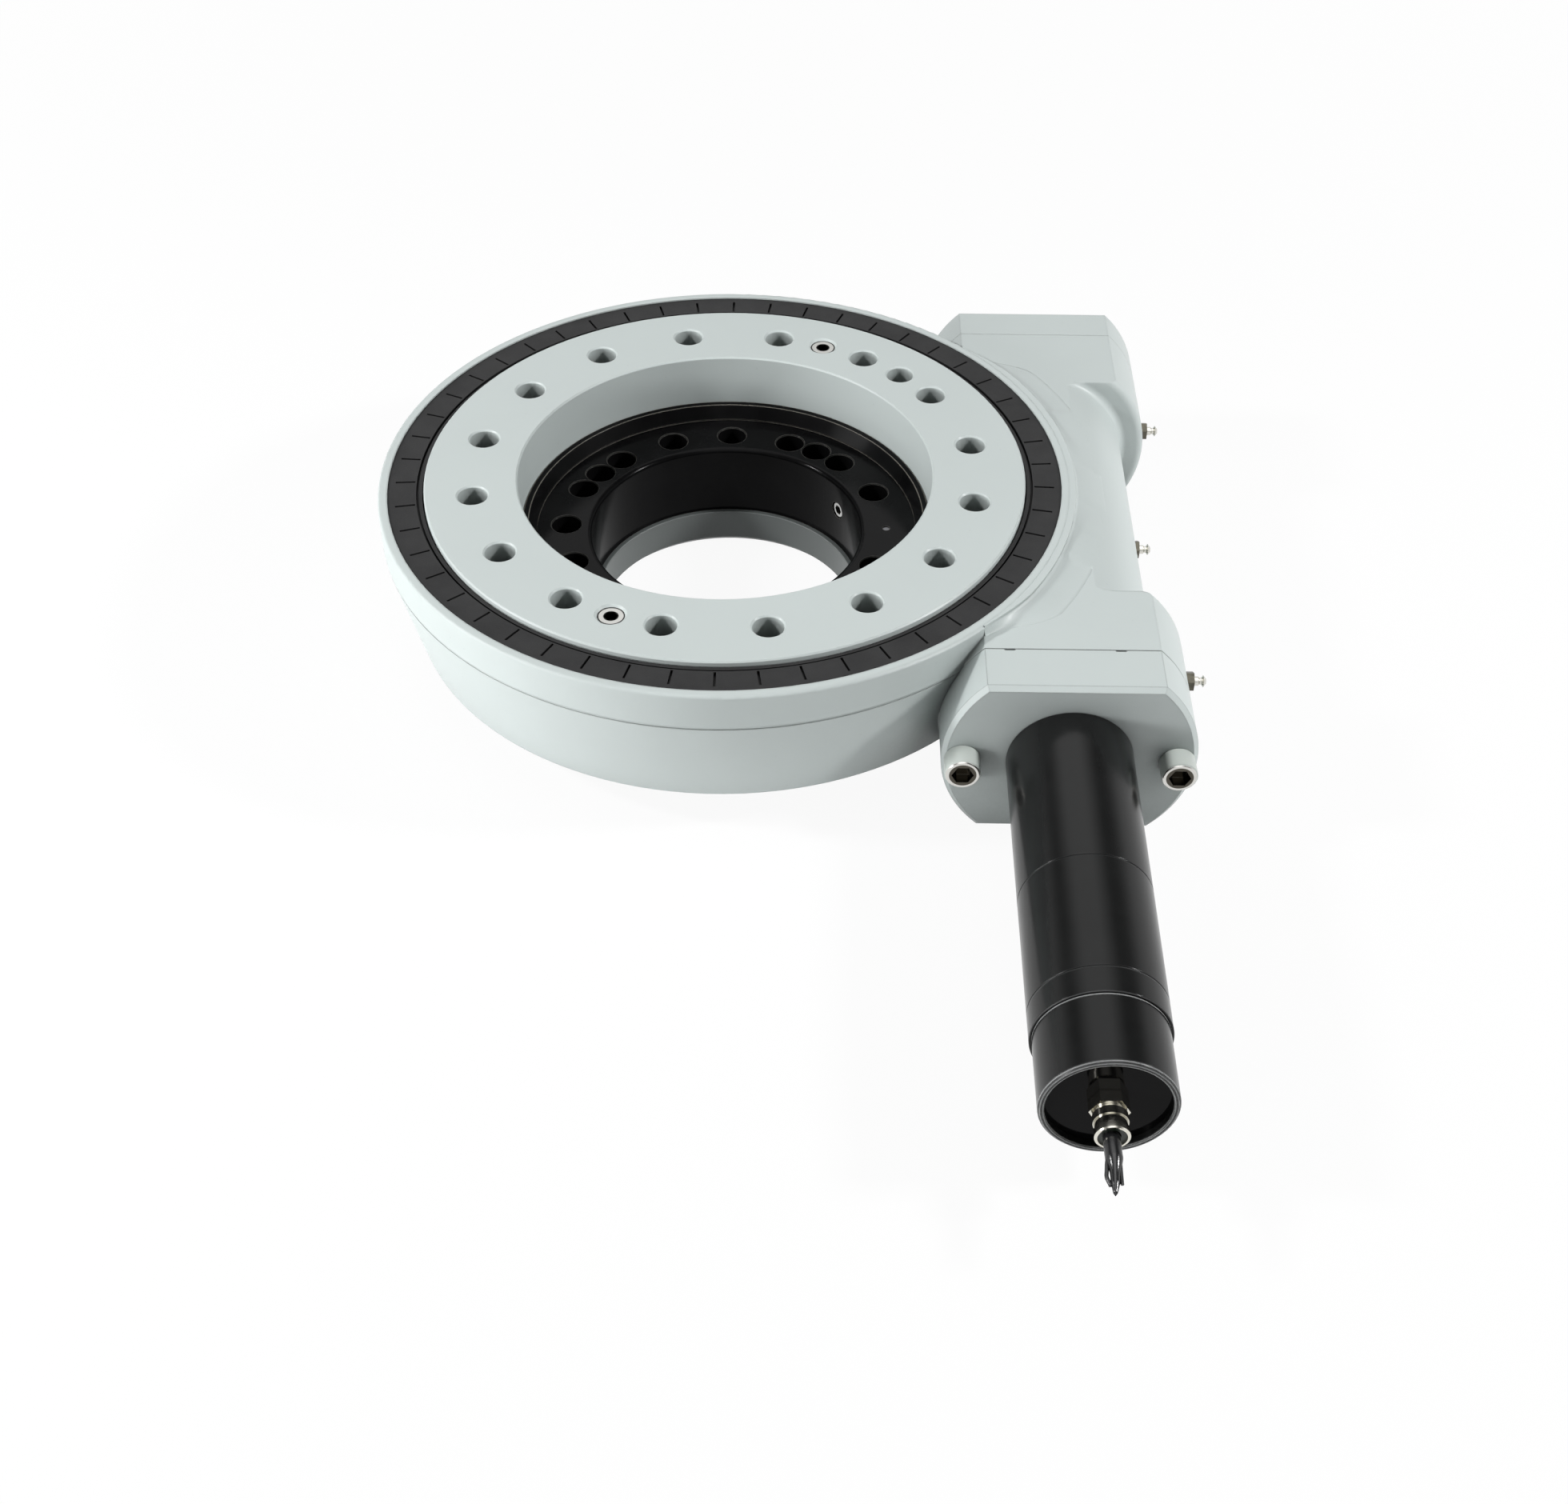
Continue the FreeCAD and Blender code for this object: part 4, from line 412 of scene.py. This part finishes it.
# black inner ring
# the lighter edge colour is a painted highlight on the hole rims and the bore edge
innerRingBlack = {
    "dark": (0.003, 0.003, 0.0032), "light": (0.006, 0.006, 0.0063), "specular": 0.05,
    "glossLow": 0.13, "glossHigh": 0.19, "grain": 1800.0, "patch": 45.0,
    "centre": slewAxis, "tilt": standUp, "marks": 1800.0, "markGloss": 0.06, "markShare": 0.8,
    "bumpDepth": 0.000006, "bumpStrength": 0.5,
    "edgeRadius": 0.0008, "edgeGain": 0.8, "edgeBreakUp": 0.5, "edgeRound": 0.0008,
    "edgeColour": (0.24, 0.235, 0.215),
}
dress(blackFinish("blackOxide", innerRingBlack), "inner_ring", "inner_ring_screws", "rear_cover_screws",
      "gearbox_screws")

# seals
# the recess shade colour is painted shade in the slots and corners
dustSealRubber = {
    "dark": (0.018, 0.018, 0.0185), "light": (0.03, 0.03, 0.0305), "recessShadeColour": (0.004, 0.004, 0.004),
    "specular": 0.2, "glossLow": 0.5, "glossHigh": 0.65, "grain": 1600.0, "patch": 40.0,
    "bumpDepth": 0.00004, "bumpStrength": 0.5, "shadeReach": 0.002, "shadeGain": 0.9,
}
innerSealRubber = dict(dustSealRubber, dark=(0.004, 0.004, 0.0043), light=(0.008, 0.008, 0.0085),
                       glossLow=0.25, glossHigh=0.34)
# lip seal: the light edge line is a painted highlight
lipSeal = dict(innerRingBlack, edgeColour=(0.42, 0.4, 0.35), edgeRadius=0.001, edgeGain=1.1)
dress(rubberFinish("sealRubber", dustSealRubber), "dust_seal")
dress(rubberFinish("lipRubber", innerSealRubber), "floor_seal", "shaft_seal", "rear_cover_oring")
dress(blackFinish("lipSealBlack", lipSeal), "lip_seal")

# motor and gearbox
# the faint lighter edge line on the motor is a painted highlight
motorSatin = {
    "dark": (0.008, 0.0083, 0.0083), "light": (0.011, 0.0114, 0.0114), "specular": 0.16,
    "glossLow": 0.18, "glossHigh": 0.23, "grain": 2200.0, "patch": 30.0,
    "centre": wormAxis, "tilt": lieAlongWorm, "marks": 1400.0, "markGloss": 0.03, "markShare": 0.4,
    "bumpDepth": 0.000004, "bumpStrength": 0.5,
    "edgeRadius": 0.0007, "edgeGain": 0.3, "edgeBreakUp": 0.5, "edgeRound": 0.0009,
    "edgeColour": (0.16, 0.165, 0.165),
}
# bell and cap: the light edge line is a painted highlight, brightest as a crescent on the cap's end rim
bellSatin = dict(motorSatin, edgeColour=(0.3, 0.31, 0.31), edgeRadius=0.0012, edgeGain=0.5, edgeRound=0.0014)
capSatin = dict(bellSatin, edgeColour=(0.85, 0.87, 0.87), edgeRadius=0.0018, edgeGain=1.0)
endPlateGloss = dict(motorSatin, dark=(0.002, 0.002, 0.0022), light=(0.003, 0.003, 0.0032), glossLow=0.04,
                     glossHigh=0.07, markGloss=0.01, markShare=0.2, specular=0.06, edgeGain=0.1)
dress(blackFinish("motorBlack", motorSatin), "gearbox_case", "motor_can")
dress(blackFinish("bellBlack", bellSatin), "rear_bell")
dress(blackFinish("capBlack", capSatin), "rear_cap")
dress(blackFinish("endPlateBlack", endPlateGloss), "end_plate")

# plated and bare metal
# the metal shade values give painted shade in the corners
nickelGland = {
    "dark": (0.66, 0.64, 0.56), "light": (0.78, 0.76, 0.69), "glossLow": 0.13, "glossHigh": 0.19,
    "grain": 2600.0, "patch": 220.0, "bumpDepth": 0.000006, "bumpStrength": 0.4,
    "centre": wormAxis, "tilt": lieAlongWorm, "marks": 3500.0, "markGloss": 0.05, "markShare": 0.7,
    "metalShadeReach": 0.0015, "metalShadeGain": 0.7, "metalShadeColour": (0.06, 0.055, 0.045),
}
groundSteel = dict(nickelGland, dark=(0.5, 0.5, 0.51), light=(0.6, 0.6, 0.61), glossLow=0.18, glossHigh=0.26,
                   metalShadeReach=0.004, metalShadeGain=0.9)
zincPlug = dict(groundSteel, dark=(0.42, 0.42, 0.41), light=(0.56, 0.56, 0.55), glossLow=0.16)
ballSteel = dict(groundSteel, dark=(0.62, 0.62, 0.63), light=(0.68, 0.68, 0.69), glossLow=0.05,
                 glossHigh=0.08, markGloss=0.0)
bronze = dict(groundSteel, dark=(0.42, 0.25, 0.1), light=(0.55, 0.36, 0.16), glossLow=0.3, glossHigh=0.4)
copper = dict(groundSteel, dark=(0.6, 0.27, 0.15), light=(0.74, 0.38, 0.24), glossLow=0.2, glossHigh=0.3)
darkSteel = dict(groundSteel, dark=(0.13, 0.13, 0.14), light=(0.2, 0.2, 0.21), glossLow=0.4, glossHigh=0.5)
planets = [f"{stage}_planet_{number}" for stage in ("output", "input") for number in (1, 2, 3)]
dress(bareMetal("nickelBrass", nickelGland), "gland_body", "gland_nut")
dress(bareMetal("zincPlate", zincPlug), "bore_plug")
dress(bareMetal("groundSteel", groundSteel), "worm_shaft", "output_shaft", "output_key",
      "output_planet_pins", "input_planet_pins", "input_carrier", "ring_gear", "motor_shaft", "front_bell",
      "loading_plug", *planets)
dress(bareMetal("bearingSteel", ballSteel), "bearing_balls", "front_rollers", "rear_rollers",
      "front_bearing_cup", "rear_bearing_cup", "front_bearing_cone", "rear_bearing_cone")
dress(bareMetal("sinteredBronze", bronze), "motor_bushes")
dress(bareMetal("copperBars", copper), "commutator")
dress(bareMetal("coreStack", darkSteel), "armature", "loading_plug_pin")

# socket screws of the flange: sprayed with the castings, bare at the rim, with painted shade in the socket
flangeScrews = {
    "axes": ((0.1228, 0.0, 0.047), (0.2292, 0.0, 0.047)), "flatten": (1.0, 0.0, 1.0),
    "rimFrom": 0.0066, "rimFade": 0.0003, "paintAndGapShadeFrom": 0.0083, "paintAndGapShadeFade": 0.0002, "ragged": 0.0008,
    "paintAndGapShade": (0.5, 0.54, 0.51), "rim": (0.66, 0.65, 0.62), "socket": (0.08, 0.073, 0.06),
    "smoothLow": 0.16, "smoothHigh": 0.26, "paintAndGapShadeRougher": 0.18, "grain": 1500.0, "patch": 140.0,
    "bumpDepth": 0.00002, "bumpStrength": 0.4, "edgeRound": 0.0005,
}
# ring plugs: bright face, with painted shade in the socket and in the gap round the outside
ringPlugs = dict(
    flangeScrews, axes=((0.05166, 0.12472, 0.0), (-0.05166, -0.12472, 0.0)), flatten=(1.0, 1.0, 0.0),
    rimFrom=0.0037, paintAndGapShadeFrom=0.0061, paintAndGapShade=(0.012, 0.012, 0.011), rim=(0.5, 0.5, 0.48),
    socket=(0.012, 0.012, 0.011), smoothLow=0.38, smoothHigh=0.48)


def zonedFace(name, look):
    material, tree, shader = newMaterial(name)
    reach = reachFromAxes(tree, look["flatten"], look["axes"])
    grain = useGroup(tree, fineGrain, Grain=look["grain"], Patch=look["patch"])
    worn = calc(tree, "MULTIPLY", calc(tree, "SUBTRACT", grain["Cloud"], noiseMiddle), look["ragged"])
    # the outer zone is the paint on the screws and painted shade in the gap round the plugs; the socket
    # colour is painted shade
    paintAndGapShadeShare = beyond(tree, calc(tree, "ADD", reach, worn), look["paintAndGapShadeFrom"], look["paintAndGapShadeFade"])
    outside = beyond(tree, reach, look["rimFrom"], look["rimFade"])
    metal = blendColour(tree, outside, look["socket"], look["rim"])
    smooth = spreadNoise(tree, grain["Cloud"], look["smoothLow"], look["smoothHigh"])
    dull = calc(tree, "MULTIPLY", paintAndGapShadeShare, look["paintAndGapShadeRougher"])
    addBump(tree, shader, grain["Speck"], look, softEdges(tree, look["edgeRound"]))
    feed(tree, shader, Base_Color=blendColour(tree, paintAndGapShadeShare, metal, look["paintAndGapShade"]),
         Metallic=calc(tree, "SUBTRACT", 1.0, paintAndGapShadeShare), Roughness=calc(tree, "ADD", smooth, dull))
    return material


dress(zonedFace("screwEnamel", flangeScrews), "flange_screws")
dress(zonedFace("plugSteel", ringPlugs), "ring_plugs")

# grease nipples: dull hexagon, bright stem
greaseNipples = {
    "axes": ((0.0, -0.119, 0.058), (0.0, 0.003, 0.049), (0.0, 0.11, 0.055)), "flatten": (0.0, 1.0, 1.0),
    "hexFrom": 0.0036, "hexFade": 0.0002, "hexDark": (0.07, 0.066, 0.052), "hexLight": (0.14, 0.132, 0.105),
    "stem": (0.66, 0.65, 0.6), "metalShadeReach": 0.0012, "metalShadeGain": 0.8, "metalShadeColour": (0.03, 0.028, 0.022),
    "smoothLow": 0.14, "smoothHigh": 0.24, "hexRougher": 0.14, "grain": 2400.0, "patch": 260.0,
    "bumpDepth": 0.00001, "bumpStrength": 0.4, "edgeRound": 0.0003,
}


def nippleMetal(name, look):
    material, tree, shader = newMaterial(name)
    reach = reachFromAxes(tree, look["flatten"], look["axes"])
    grain = useGroup(tree, fineGrain, Grain=look["grain"], Patch=look["patch"])
    # painted shade in the corners, from ambient occlusion
    metalShade = useGroup(tree, occlusionShade, Reach=look["metalShadeReach"], Gain=look["metalShadeGain"])
    hexagon = cloudyColour(tree, grain, look["hexDark"], look["hexLight"])
    onHex = beyond(tree, reach, look["hexFrom"], look["hexFade"])
    metal = blendColour(tree, onHex, look["stem"], hexagon)
    smooth = spreadNoise(tree, grain["Cloud"], look["smoothLow"], look["smoothHigh"])
    dull = calc(tree, "MULTIPLY", onHex, look["hexRougher"])
    addBump(tree, shader, grain["Speck"], look, softEdges(tree, look["edgeRound"]))
    feed(tree, shader, Base_Color=blendColour(tree, metalShade["Mask"], metal, look["metalShadeColour"]),
         Metallic=1.0, Roughness=calc(tree, "ADD", smooth, dull))
    return material


dress(nippleMetal("nipplePlate", greaseNipples), "grease_nipples")

# moulded and rubber bits
grommetRubber = dict(dustSealRubber, dark=(0.006, 0.013, 0.007), light=(0.012, 0.022, 0.013), glossLow=0.25,
                     glossHigh=0.35, specular=0.5)
cableSheath = dict(dustSealRubber, dark=(0.006, 0.0065, 0.007), light=(0.012, 0.012, 0.013), glossLow=0.16,
                   glossHigh=0.26, specular=0.5, patch=140.0)
ferrite = dict(dustSealRubber, dark=(0.03, 0.03, 0.032), light=(0.06, 0.06, 0.062))
spacerNylon = dict(dustSealRubber, dark=(0.62, 0.6, 0.5), light=(0.7, 0.68, 0.6),
                   recessShadeColour=(0.4, 0.38, 0.3), glossLow=0.35, glossHigh=0.5)
carbonBlock = dict(dustSealRubber, dark=(0.015, 0.015, 0.016), light=(0.03, 0.03, 0.031))
holderPlastic = dict(dustSealRubber, dark=(0.1, 0.08, 0.05), light=(0.14, 0.12, 0.08))
sheathMaterial = rubberFinish("cableSheath", cableSheath)
dress(sheathMaterial, "motor_cable")
dress(rubberFinish("grommetRubber", grommetRubber), "gland_grommet")
dress(rubberFinish("ferriteMagnet", ferrite), "field_magnets")
dress(rubberFinish("nylonSpacer", spacerNylon), "ball_spacers")
dress(rubberFinish("carbonBlock", carbonBlock), "carbon_brushes")
dress(rubberFinish("holderPlastic", holderPlastic), "brush_holders")
print("finishes on all nodes")


# short cut cable out of the gland: it tapers where the sheath is stripped, with a core on either side
cable = {
    "route": ((0.176, -0.381, 0.047), (0.1754, -0.404, 0.047), (0.1759, -0.415, 0.0468),
              (0.1748, -0.4276, 0.046)),
    "exit": (0.176, -0.4005, 0.047), "length": 0.048, "diameter": 0.0075,
    "waist": ((0.0, 0.00375), (0.56, 0.00378), (0.6, 0.0036), (0.66, 0.0032), (0.72, 0.0027), (0.78, 0.0023),
              (0.84, 0.0021), (0.9, 0.002), (1.0, 0.001)),
    "point": 0.0016, "steps": 24, "sides": 28,
}
# each core's path: share along the cable, aside and up
cores = {
    "leftCore": {"radius": 0.0009, "point": 0.0006, "steps": 10, "sides": 16, "path": (
        (0.53, -0.0025, 0.0004), (0.63, -0.0032, 0.0002), (0.74, -0.0034, 0.0), (0.83, -0.0037, 0.0),
        (0.88, -0.003, 0.0), (0.925, -0.0019, 0.0))},
    "rightCore": {"radius": 0.00078, "point": 0.0, "steps": 10, "sides": 16, "path": (
        (0.58, 0.0024, 0.0003), (0.7, 0.0024, 0.0002), (0.78, 0.0025, 0.0), (0.85, 0.0026, 0.0),
        (0.912, 0.0028, 0.0))},
}
coreSheath = dict(cableSheath, dark=(0.012, 0.0125, 0.013), light=(0.022, 0.023, 0.024), glossLow=0.26,
                  glossHigh=0.36)
coreMaterial = rubberFinish("coreSheath", coreSheath)


def routeLine(name, points, steps):
    # points along a smooth line through the frame, read back from its own spline
    curve = bpy.data.curves.new(name, "CURVE")
    curve.dimensions = "3D"
    curve.resolution_u = steps
    spline = curve.splines.new("NURBS")
    spline.points.add(len(points) - 1)
    for point, place in zip(spline.points, points):
        point.co = (*place, 1.0)
    spline.order_u = 3
    spline.use_endpoint_u = True
    guide = bpy.data.objects.new(name, curve)
    mesh = bpy.data.meshes.new_from_object(guide)
    line = [vertex.co.copy() for vertex in mesh.vertices]
    bpy.data.meshes.remove(mesh)
    bpy.data.objects.remove(guide)
    bpy.data.curves.remove(curve)
    return line


def between(table, share):
    for (low, first), (high, last) in zip(table, table[1:]):
        if share <= high:
            return first + (last - first) * (share - low) / (high - low)
    return table[-1][1]


def linkPiece(name, shape, material):
    # makes a piece of the base from a finished shape
    mesh = bpy.data.meshes.new(name)
    shape.to_mesh(mesh)
    shape.free()
    mesh.materials.append(material)
    piece = bpy.data.objects.new(name, mesh)
    scene.collection.objects.link(piece)
    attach(piece, "base")
    return piece


def sweepTube(name, line, radii, sides, material, point):
    # a round skin along a line, closed flat at its start and cut to a point at its end
    shape = bmesh.new()
    across = Vector((1.0, 0.0, 0.0))
    turns = [2 * math.pi * side / sides for side in range(sides)]
    rings = []
    for index, centre in enumerate(line):
        ahead = (line[min(index + 1, len(line) - 1)] - line[max(index - 1, 0)]).normalized()
        across = (across - ahead * across.dot(ahead)).normalized()
        beside = ahead.cross(across)
        spokes = [across * math.cos(turn) + beside * math.sin(turn) for turn in turns]
        rings.append([shape.verts.new(centre + spoke * radii[index]) for spoke in spokes])
    for lower, upper in zip(rings, rings[1:]):
        for side in range(sides):
            after = (side + 1) % sides
            shape.faces.new((lower[side], lower[after], upper[after], upper[side]))
    shape.faces.new(list(reversed(rings[0])))
    tip = shape.verts.new(line[-1] + ahead * point)
    for side in range(sides):
        shape.faces.new((rings[-1][side], rings[-1][(side + 1) % sides], tip))
    bmesh.ops.recalc_face_normals(shape, faces=shape.faces)
    for face in shape.faces:
        face.smooth = len(face.verts) == 4
    return linkPiece(name, shape, material)


def layCable():
    line = routeLine("motorLead", cable["route"], cable["steps"])
    last = len(line) - 1
    radii = [between(cable["waist"], index / last) for index in range(len(line))]
    lead = sweepTube("motorLead", line, radii, cable["sides"], sheathMaterial, cable["point"])
    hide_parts("motor_cable")
    for name, core in cores.items():
        spots = []
        for share, aside, rise in core["path"]:
            spots.append(line[round(share * last)] + Vector((aside, 0.0, rise)))
        strand = routeLine(name, spots, core["steps"])
        radii = [core["radius"]] * len(strand)
        sweepTube(name, strand, radii, core["sides"], coreMaterial, core["point"])


layCable()
print("cable laid")


# paint that fills most of the turned groove under the rim band, as reach and height round the axis
rimBead = {
    "steps": 288,
    "section": ((0.1836, 0.0783), (0.1842, 0.0785), (0.1843, 0.0789), (0.18435, 0.0794), (0.1836, 0.0797)),
}
# cast blend where the rim runs into the worm side of the housing; turns in degrees from +X
rimBlend = {
    "turnFrom": -44.0, "turnTo": 44.0, "runOut": 12.0, "steps": 88, "rows": 10,
    "rimRadius": 0.1846, "crest": 0.1873, "crestHeight": 0.0993, "crestRound": 0.00005, "step": 0.0016,
    "root": 0.1832, "rootRun": 0.0008, "rootDrop": 0.0004, "leastWidth": 0.001, "spread": 0.0165,
    "tuckOut": 0.0004, "tuckDown": 0.0006, "probeHeight": 0.2, "crispRows": (1, 2),
}
# the crease values give a painted shade line at the foot of the crest
blendPaint = dict(housingPaint, creaseFrom=ownOcclusionShade, creaseReach=0.0028, creaseGain=0.7, creaseOpen=0.93,
                  creaseShut=0.6, castRound=0.0004)
mergeGap = 0.000001   # points of a skin closer than this are one


def skinSections(name, lines, crisp, material):
    # one painted skin through a row of sections; the crisp rows keep a hard edge
    shape = bmesh.new()
    made = [[shape.verts.new(point) for point in line] for line in lines]
    for lower, upper in zip(made, made[1:]):
        for row in range(len(lower) - 1):
            face = shape.faces.new((lower[row], lower[row + 1], upper[row + 1], upper[row]))
            face.smooth = row not in crisp
    bmesh.ops.remove_doubles(shape, verts=shape.verts, dist=mergeGap)
    bmesh.ops.recalc_face_normals(shape, faces=shape.faces)
    linkPiece(name, shape, material)


def placeSection(outward, section):
    return [outward * reach + Vector((0.0, 0.0, height)) for reach, height in section]


def fillRimGroove(look):
    lines = []
    for step in range(look["steps"] + 1):
        turn = 2.0 * math.pi * (step % look["steps"]) / look["steps"]
        outward = Vector((math.cos(turn), math.sin(turn), 0.0))
        lines.append(placeSection(outward, look["section"]))
    skinSections("rimBead", lines, (), castingEnamel)


def blendSection(look, surface, outward, fade):
    # from the rim's root over its crest and down a curve that meets the casting at the casting's own slope
    crest = look["rimRadius"] + (look["crest"] - look["rimRadius"]) * fade
    width = look["leastWidth"] + look["spread"] * fade
    top = look["crestHeight"]
    low = top - look["step"]
    above = outward * (crest + width) + Vector((0.0, 0.0, look["probeHeight"]))
    foot, lean = surface.ray_cast(above, Vector((0.0, 0.0, -1.0)))[:2]
    endSlope = -lean.dot(outward) / lean.z
    startSlope = 2.0 * (foot.z - low) / width - endSlope
    section = [(look["root"], top - look["rootDrop"]), (look["root"] + look["rootRun"], top),
               (crest - look["crestRound"], top)]
    for row in range(look["rows"] + 1):
        along = row / look["rows"]
        drop = width * (startSlope * along + (endSlope - startSlope) * along * along / 2.0)
        section.append((crest + width * along, low + drop))
    section.append((crest + width + look["tuckOut"], foot.z - look["tuckDown"]))
    return section


def layRimBlend(look):
    casting = nodes["housing"].data
    surface = BVHTree.FromPolygons([vertex.co for vertex in casting.vertices],
                                   [face.vertices for face in casting.polygons])
    lines = []
    for step in range(look["steps"] + 1):
        turn = look["turnFrom"] + (look["turnTo"] - look["turnFrom"]) * step / look["steps"]
        fromEnd = min(turn - look["turnFrom"], look["turnTo"] - turn)
        share = min(1.0, fromEnd / look["runOut"])
        fade = share * share * (3.0 - 2.0 * share)
        outward = Vector((math.cos(math.radians(turn)), math.sin(math.radians(turn)), 0.0))
        lines.append(placeSection(outward, blendSection(look, surface, outward, fade)))
    skinSections("rimBlend", lines, look["crispRows"], greyEnamel("blendEnamel", blendPaint))


fillRimGroove(rimBead)
layRimBlend(rimBlend)
print("rim blended into the worm side")


# floor, sky and lamps
studio = {
    "floorSize": 6.0, "floorDrop": 0.0004, "floorColour": (0.9, 0.905, 0.905), "floorWhite": 0.93,
    "floorGlow": 0.02, "whiteFrom": 0.5, "whiteBy": 1.5,
    "skyFill": 0.1, "whiteUpTo": 0.2, "ceilingFrom": 0.45, "ceiling": 0.12,
    "windowAside": -0.08, "windowReach": 0.2, "windowFade": 0.5, "windowFrom": 0.44, "windowBy": 0.6,
    "windowLight": 1.7, "target": (0.06, -0.03, 0.05),
    "lamps": {
        "overhead": {"place": (0.06, 0.05, 1.8), "size": (1.0, 1.0), "power": 3.0},
        "keyLeft": {"place": (-1.42, -0.25, 1.1), "size": (0.2, 0.2), "power": 20.0},
        "keyRight": {"place": (1.54, -0.25, 1.1), "size": (0.2, 0.2), "power": 23.0},
        "leftLow": {"place": (-1.6, -0.45, 0.35), "size": (0.7, 0.5), "power": 6.0},
        "frontLow": {"place": (-1.5, -1.6, 0.42), "size": (0.9, 0.3), "power": 14.0},
    },
}


def seenRays(tree):
    path = put(tree, "ShaderNodeLightPath").outputs
    some = calc(tree, "ADD", path["Is Camera Ray"], path["Is Glossy Ray"], clamp=True)
    return calc(tree, "ADD", some, path["Is Transmission Ray"], clamp=True)


def paleFloor():
    # paper that takes the shadow, white in the distance where it is seen
    material = bpy.data.materials.new("paleFloor")
    material.use_nodes = True
    tree = material.node_tree
    tree.nodes.clear()
    paper = put(tree, "ShaderNodeBsdfDiffuse")
    feed(tree, paper, Color=opaque(studio["floorColour"]))
    shine = put(tree, "ShaderNodeEmission")
    feed(tree, shine, Strength=studio["floorGlow"])
    lit = put(tree, "ShaderNodeAddShader")
    tree.links.new(paper.outputs[0], lit.inputs[0])
    tree.links.new(shine.outputs[0], lit.inputs[1])
    spread = put(tree, "ShaderNodeVectorMath", operation="LENGTH")
    tree.links.new(objectPlace(tree), spread.inputs[0])
    white = remap(tree, spread.outputs["Value"], studio["whiteFrom"], studio["whiteBy"],
                  studio["floorWhite"], 1.0)
    mix = put(tree, "ShaderNodeMixShader")
    tree.links.new(calc(tree, "MULTIPLY", seenRays(tree), white), mix.inputs[0])
    tree.links.new(lit.outputs[0], mix.inputs[1])
    tree.links.new(put(tree, "ShaderNodeEmission").outputs[0], mix.inputs[2])
    tree.links.new(mix.outputs[0], put(tree, "ShaderNodeOutputMaterial").inputs[0])
    return material


def layFloor():
    half = studio["floorSize"] / 2
    corners = [(-half, -half, 0), (half, -half, 0), (half, half, 0), (-half, half, 0)]
    mesh = bpy.data.meshes.new("studioFloor")
    mesh.from_pydata(corners, [], [(0, 1, 2, 3)])
    mesh.materials.append(paleFloor())
    floor = bpy.data.objects.new("studioFloor", mesh)
    floor.location.z = -studio["floorDrop"]
    scene.collection.objects.link(floor)


def lightSky():
    world = bpy.data.worlds.new("studioSky")
    world.use_nodes = True
    tree = world.node_tree
    way = put(tree, "ShaderNodeSeparateXYZ")
    tree.links.new(put(tree, "ShaderNodeTexCoord").outputs["Generated"], way.inputs[0])
    # white all round, dim overhead like the roof of a studio
    roof = remap(tree, way.outputs["Z"], studio["whiteUpTo"], studio["ceilingFrom"], 1.0, studio["ceiling"])
    # one wide soft window in that roof, for the shine on the black pieces
    aside = calc(tree, "ABSOLUTE", calc(tree, "SUBTRACT", way.outputs["X"], studio["windowAside"]))
    across = remap(tree, aside, studio["windowReach"], studio["windowFade"], studio["windowLight"], 0.0)
    raised = remap(tree, way.outputs["Z"], studio["windowFrom"], studio["windowBy"], 0.0, 1.0)
    bright = calc(tree, "ADD", roof, calc(tree, "MULTIPLY", across, raised))
    shown = calc(tree, "MULTIPLY", calc(tree, "SUBTRACT", bright, studio["skyFill"]), seenRays(tree))
    feed(tree, tree.nodes["Background"], Color=(1.0, 1.0, 1.0, 1.0),
         Strength=calc(tree, "ADD", shown, studio["skyFill"]))
    scene.world = world


def hangLamp(name, lamp):
    light = bpy.data.lights.new(name, "AREA")
    light.shape = "RECTANGLE"
    light.size, light.size_y = lamp["size"]
    light.energy = lamp["power"]
    holder = bpy.data.objects.new(name, light)
    holder.location = lamp["place"]
    aim = Vector(studio["target"]) - Vector(lamp["place"])
    holder.rotation_euler = aim.to_track_quat("-Z", "Y").to_euler()
    scene.collection.objects.link(holder)


layFloor()
lightSky()
for lampName, lamp in studio["lamps"].items():
    hangLamp(lampName, lamp)
print("studio lit")


# camera as it stood for the photograph, angles in degrees
shot = {
    "place": (0.0484, -0.9691, 0.7796), "azimuth": 0.97106, "elevation": 42.32262, "roll": 0.16376,
    "lens": 50.318, "sensor": 36.0, "near": 0.05, "far": 20.0,
}


def setCamera():
    turn, rise, roll = (math.radians(shot[key]) for key in ("azimuth", "elevation", "roll"))
    ahead = Vector((-math.sin(turn) * math.cos(rise), math.cos(turn) * math.cos(rise), -math.sin(rise)))
    right = ahead.cross(Vector((0, 0, 1))).normalized()
    up = right.cross(ahead)
    across = right * math.cos(roll) + up * math.sin(roll)
    upward = up * math.cos(roll) - right * math.sin(roll)
    camera = bpy.data.cameras.new("photoCamera")
    camera.sensor_fit = "HORIZONTAL"
    camera.sensor_width = shot["sensor"]
    camera.lens = shot["lens"]
    camera.clip_start = shot["near"]
    camera.clip_end = shot["far"]
    holder = bpy.data.objects.new("photoCamera", camera)
    holder.matrix_world = Matrix((
        (across.x, upward.x, -ahead.x, shot["place"][0]),
        (across.y, upward.y, -ahead.y, shot["place"][1]),
        (across.z, upward.z, -ahead.z, shot["place"][2]),
        (0.0, 0.0, 0.0, 1.0),
    ))
    scene.collection.objects.link(holder)
    scene.camera = holder


setCamera()
scene.view_settings.view_transform = "Standard"
print("camera set")
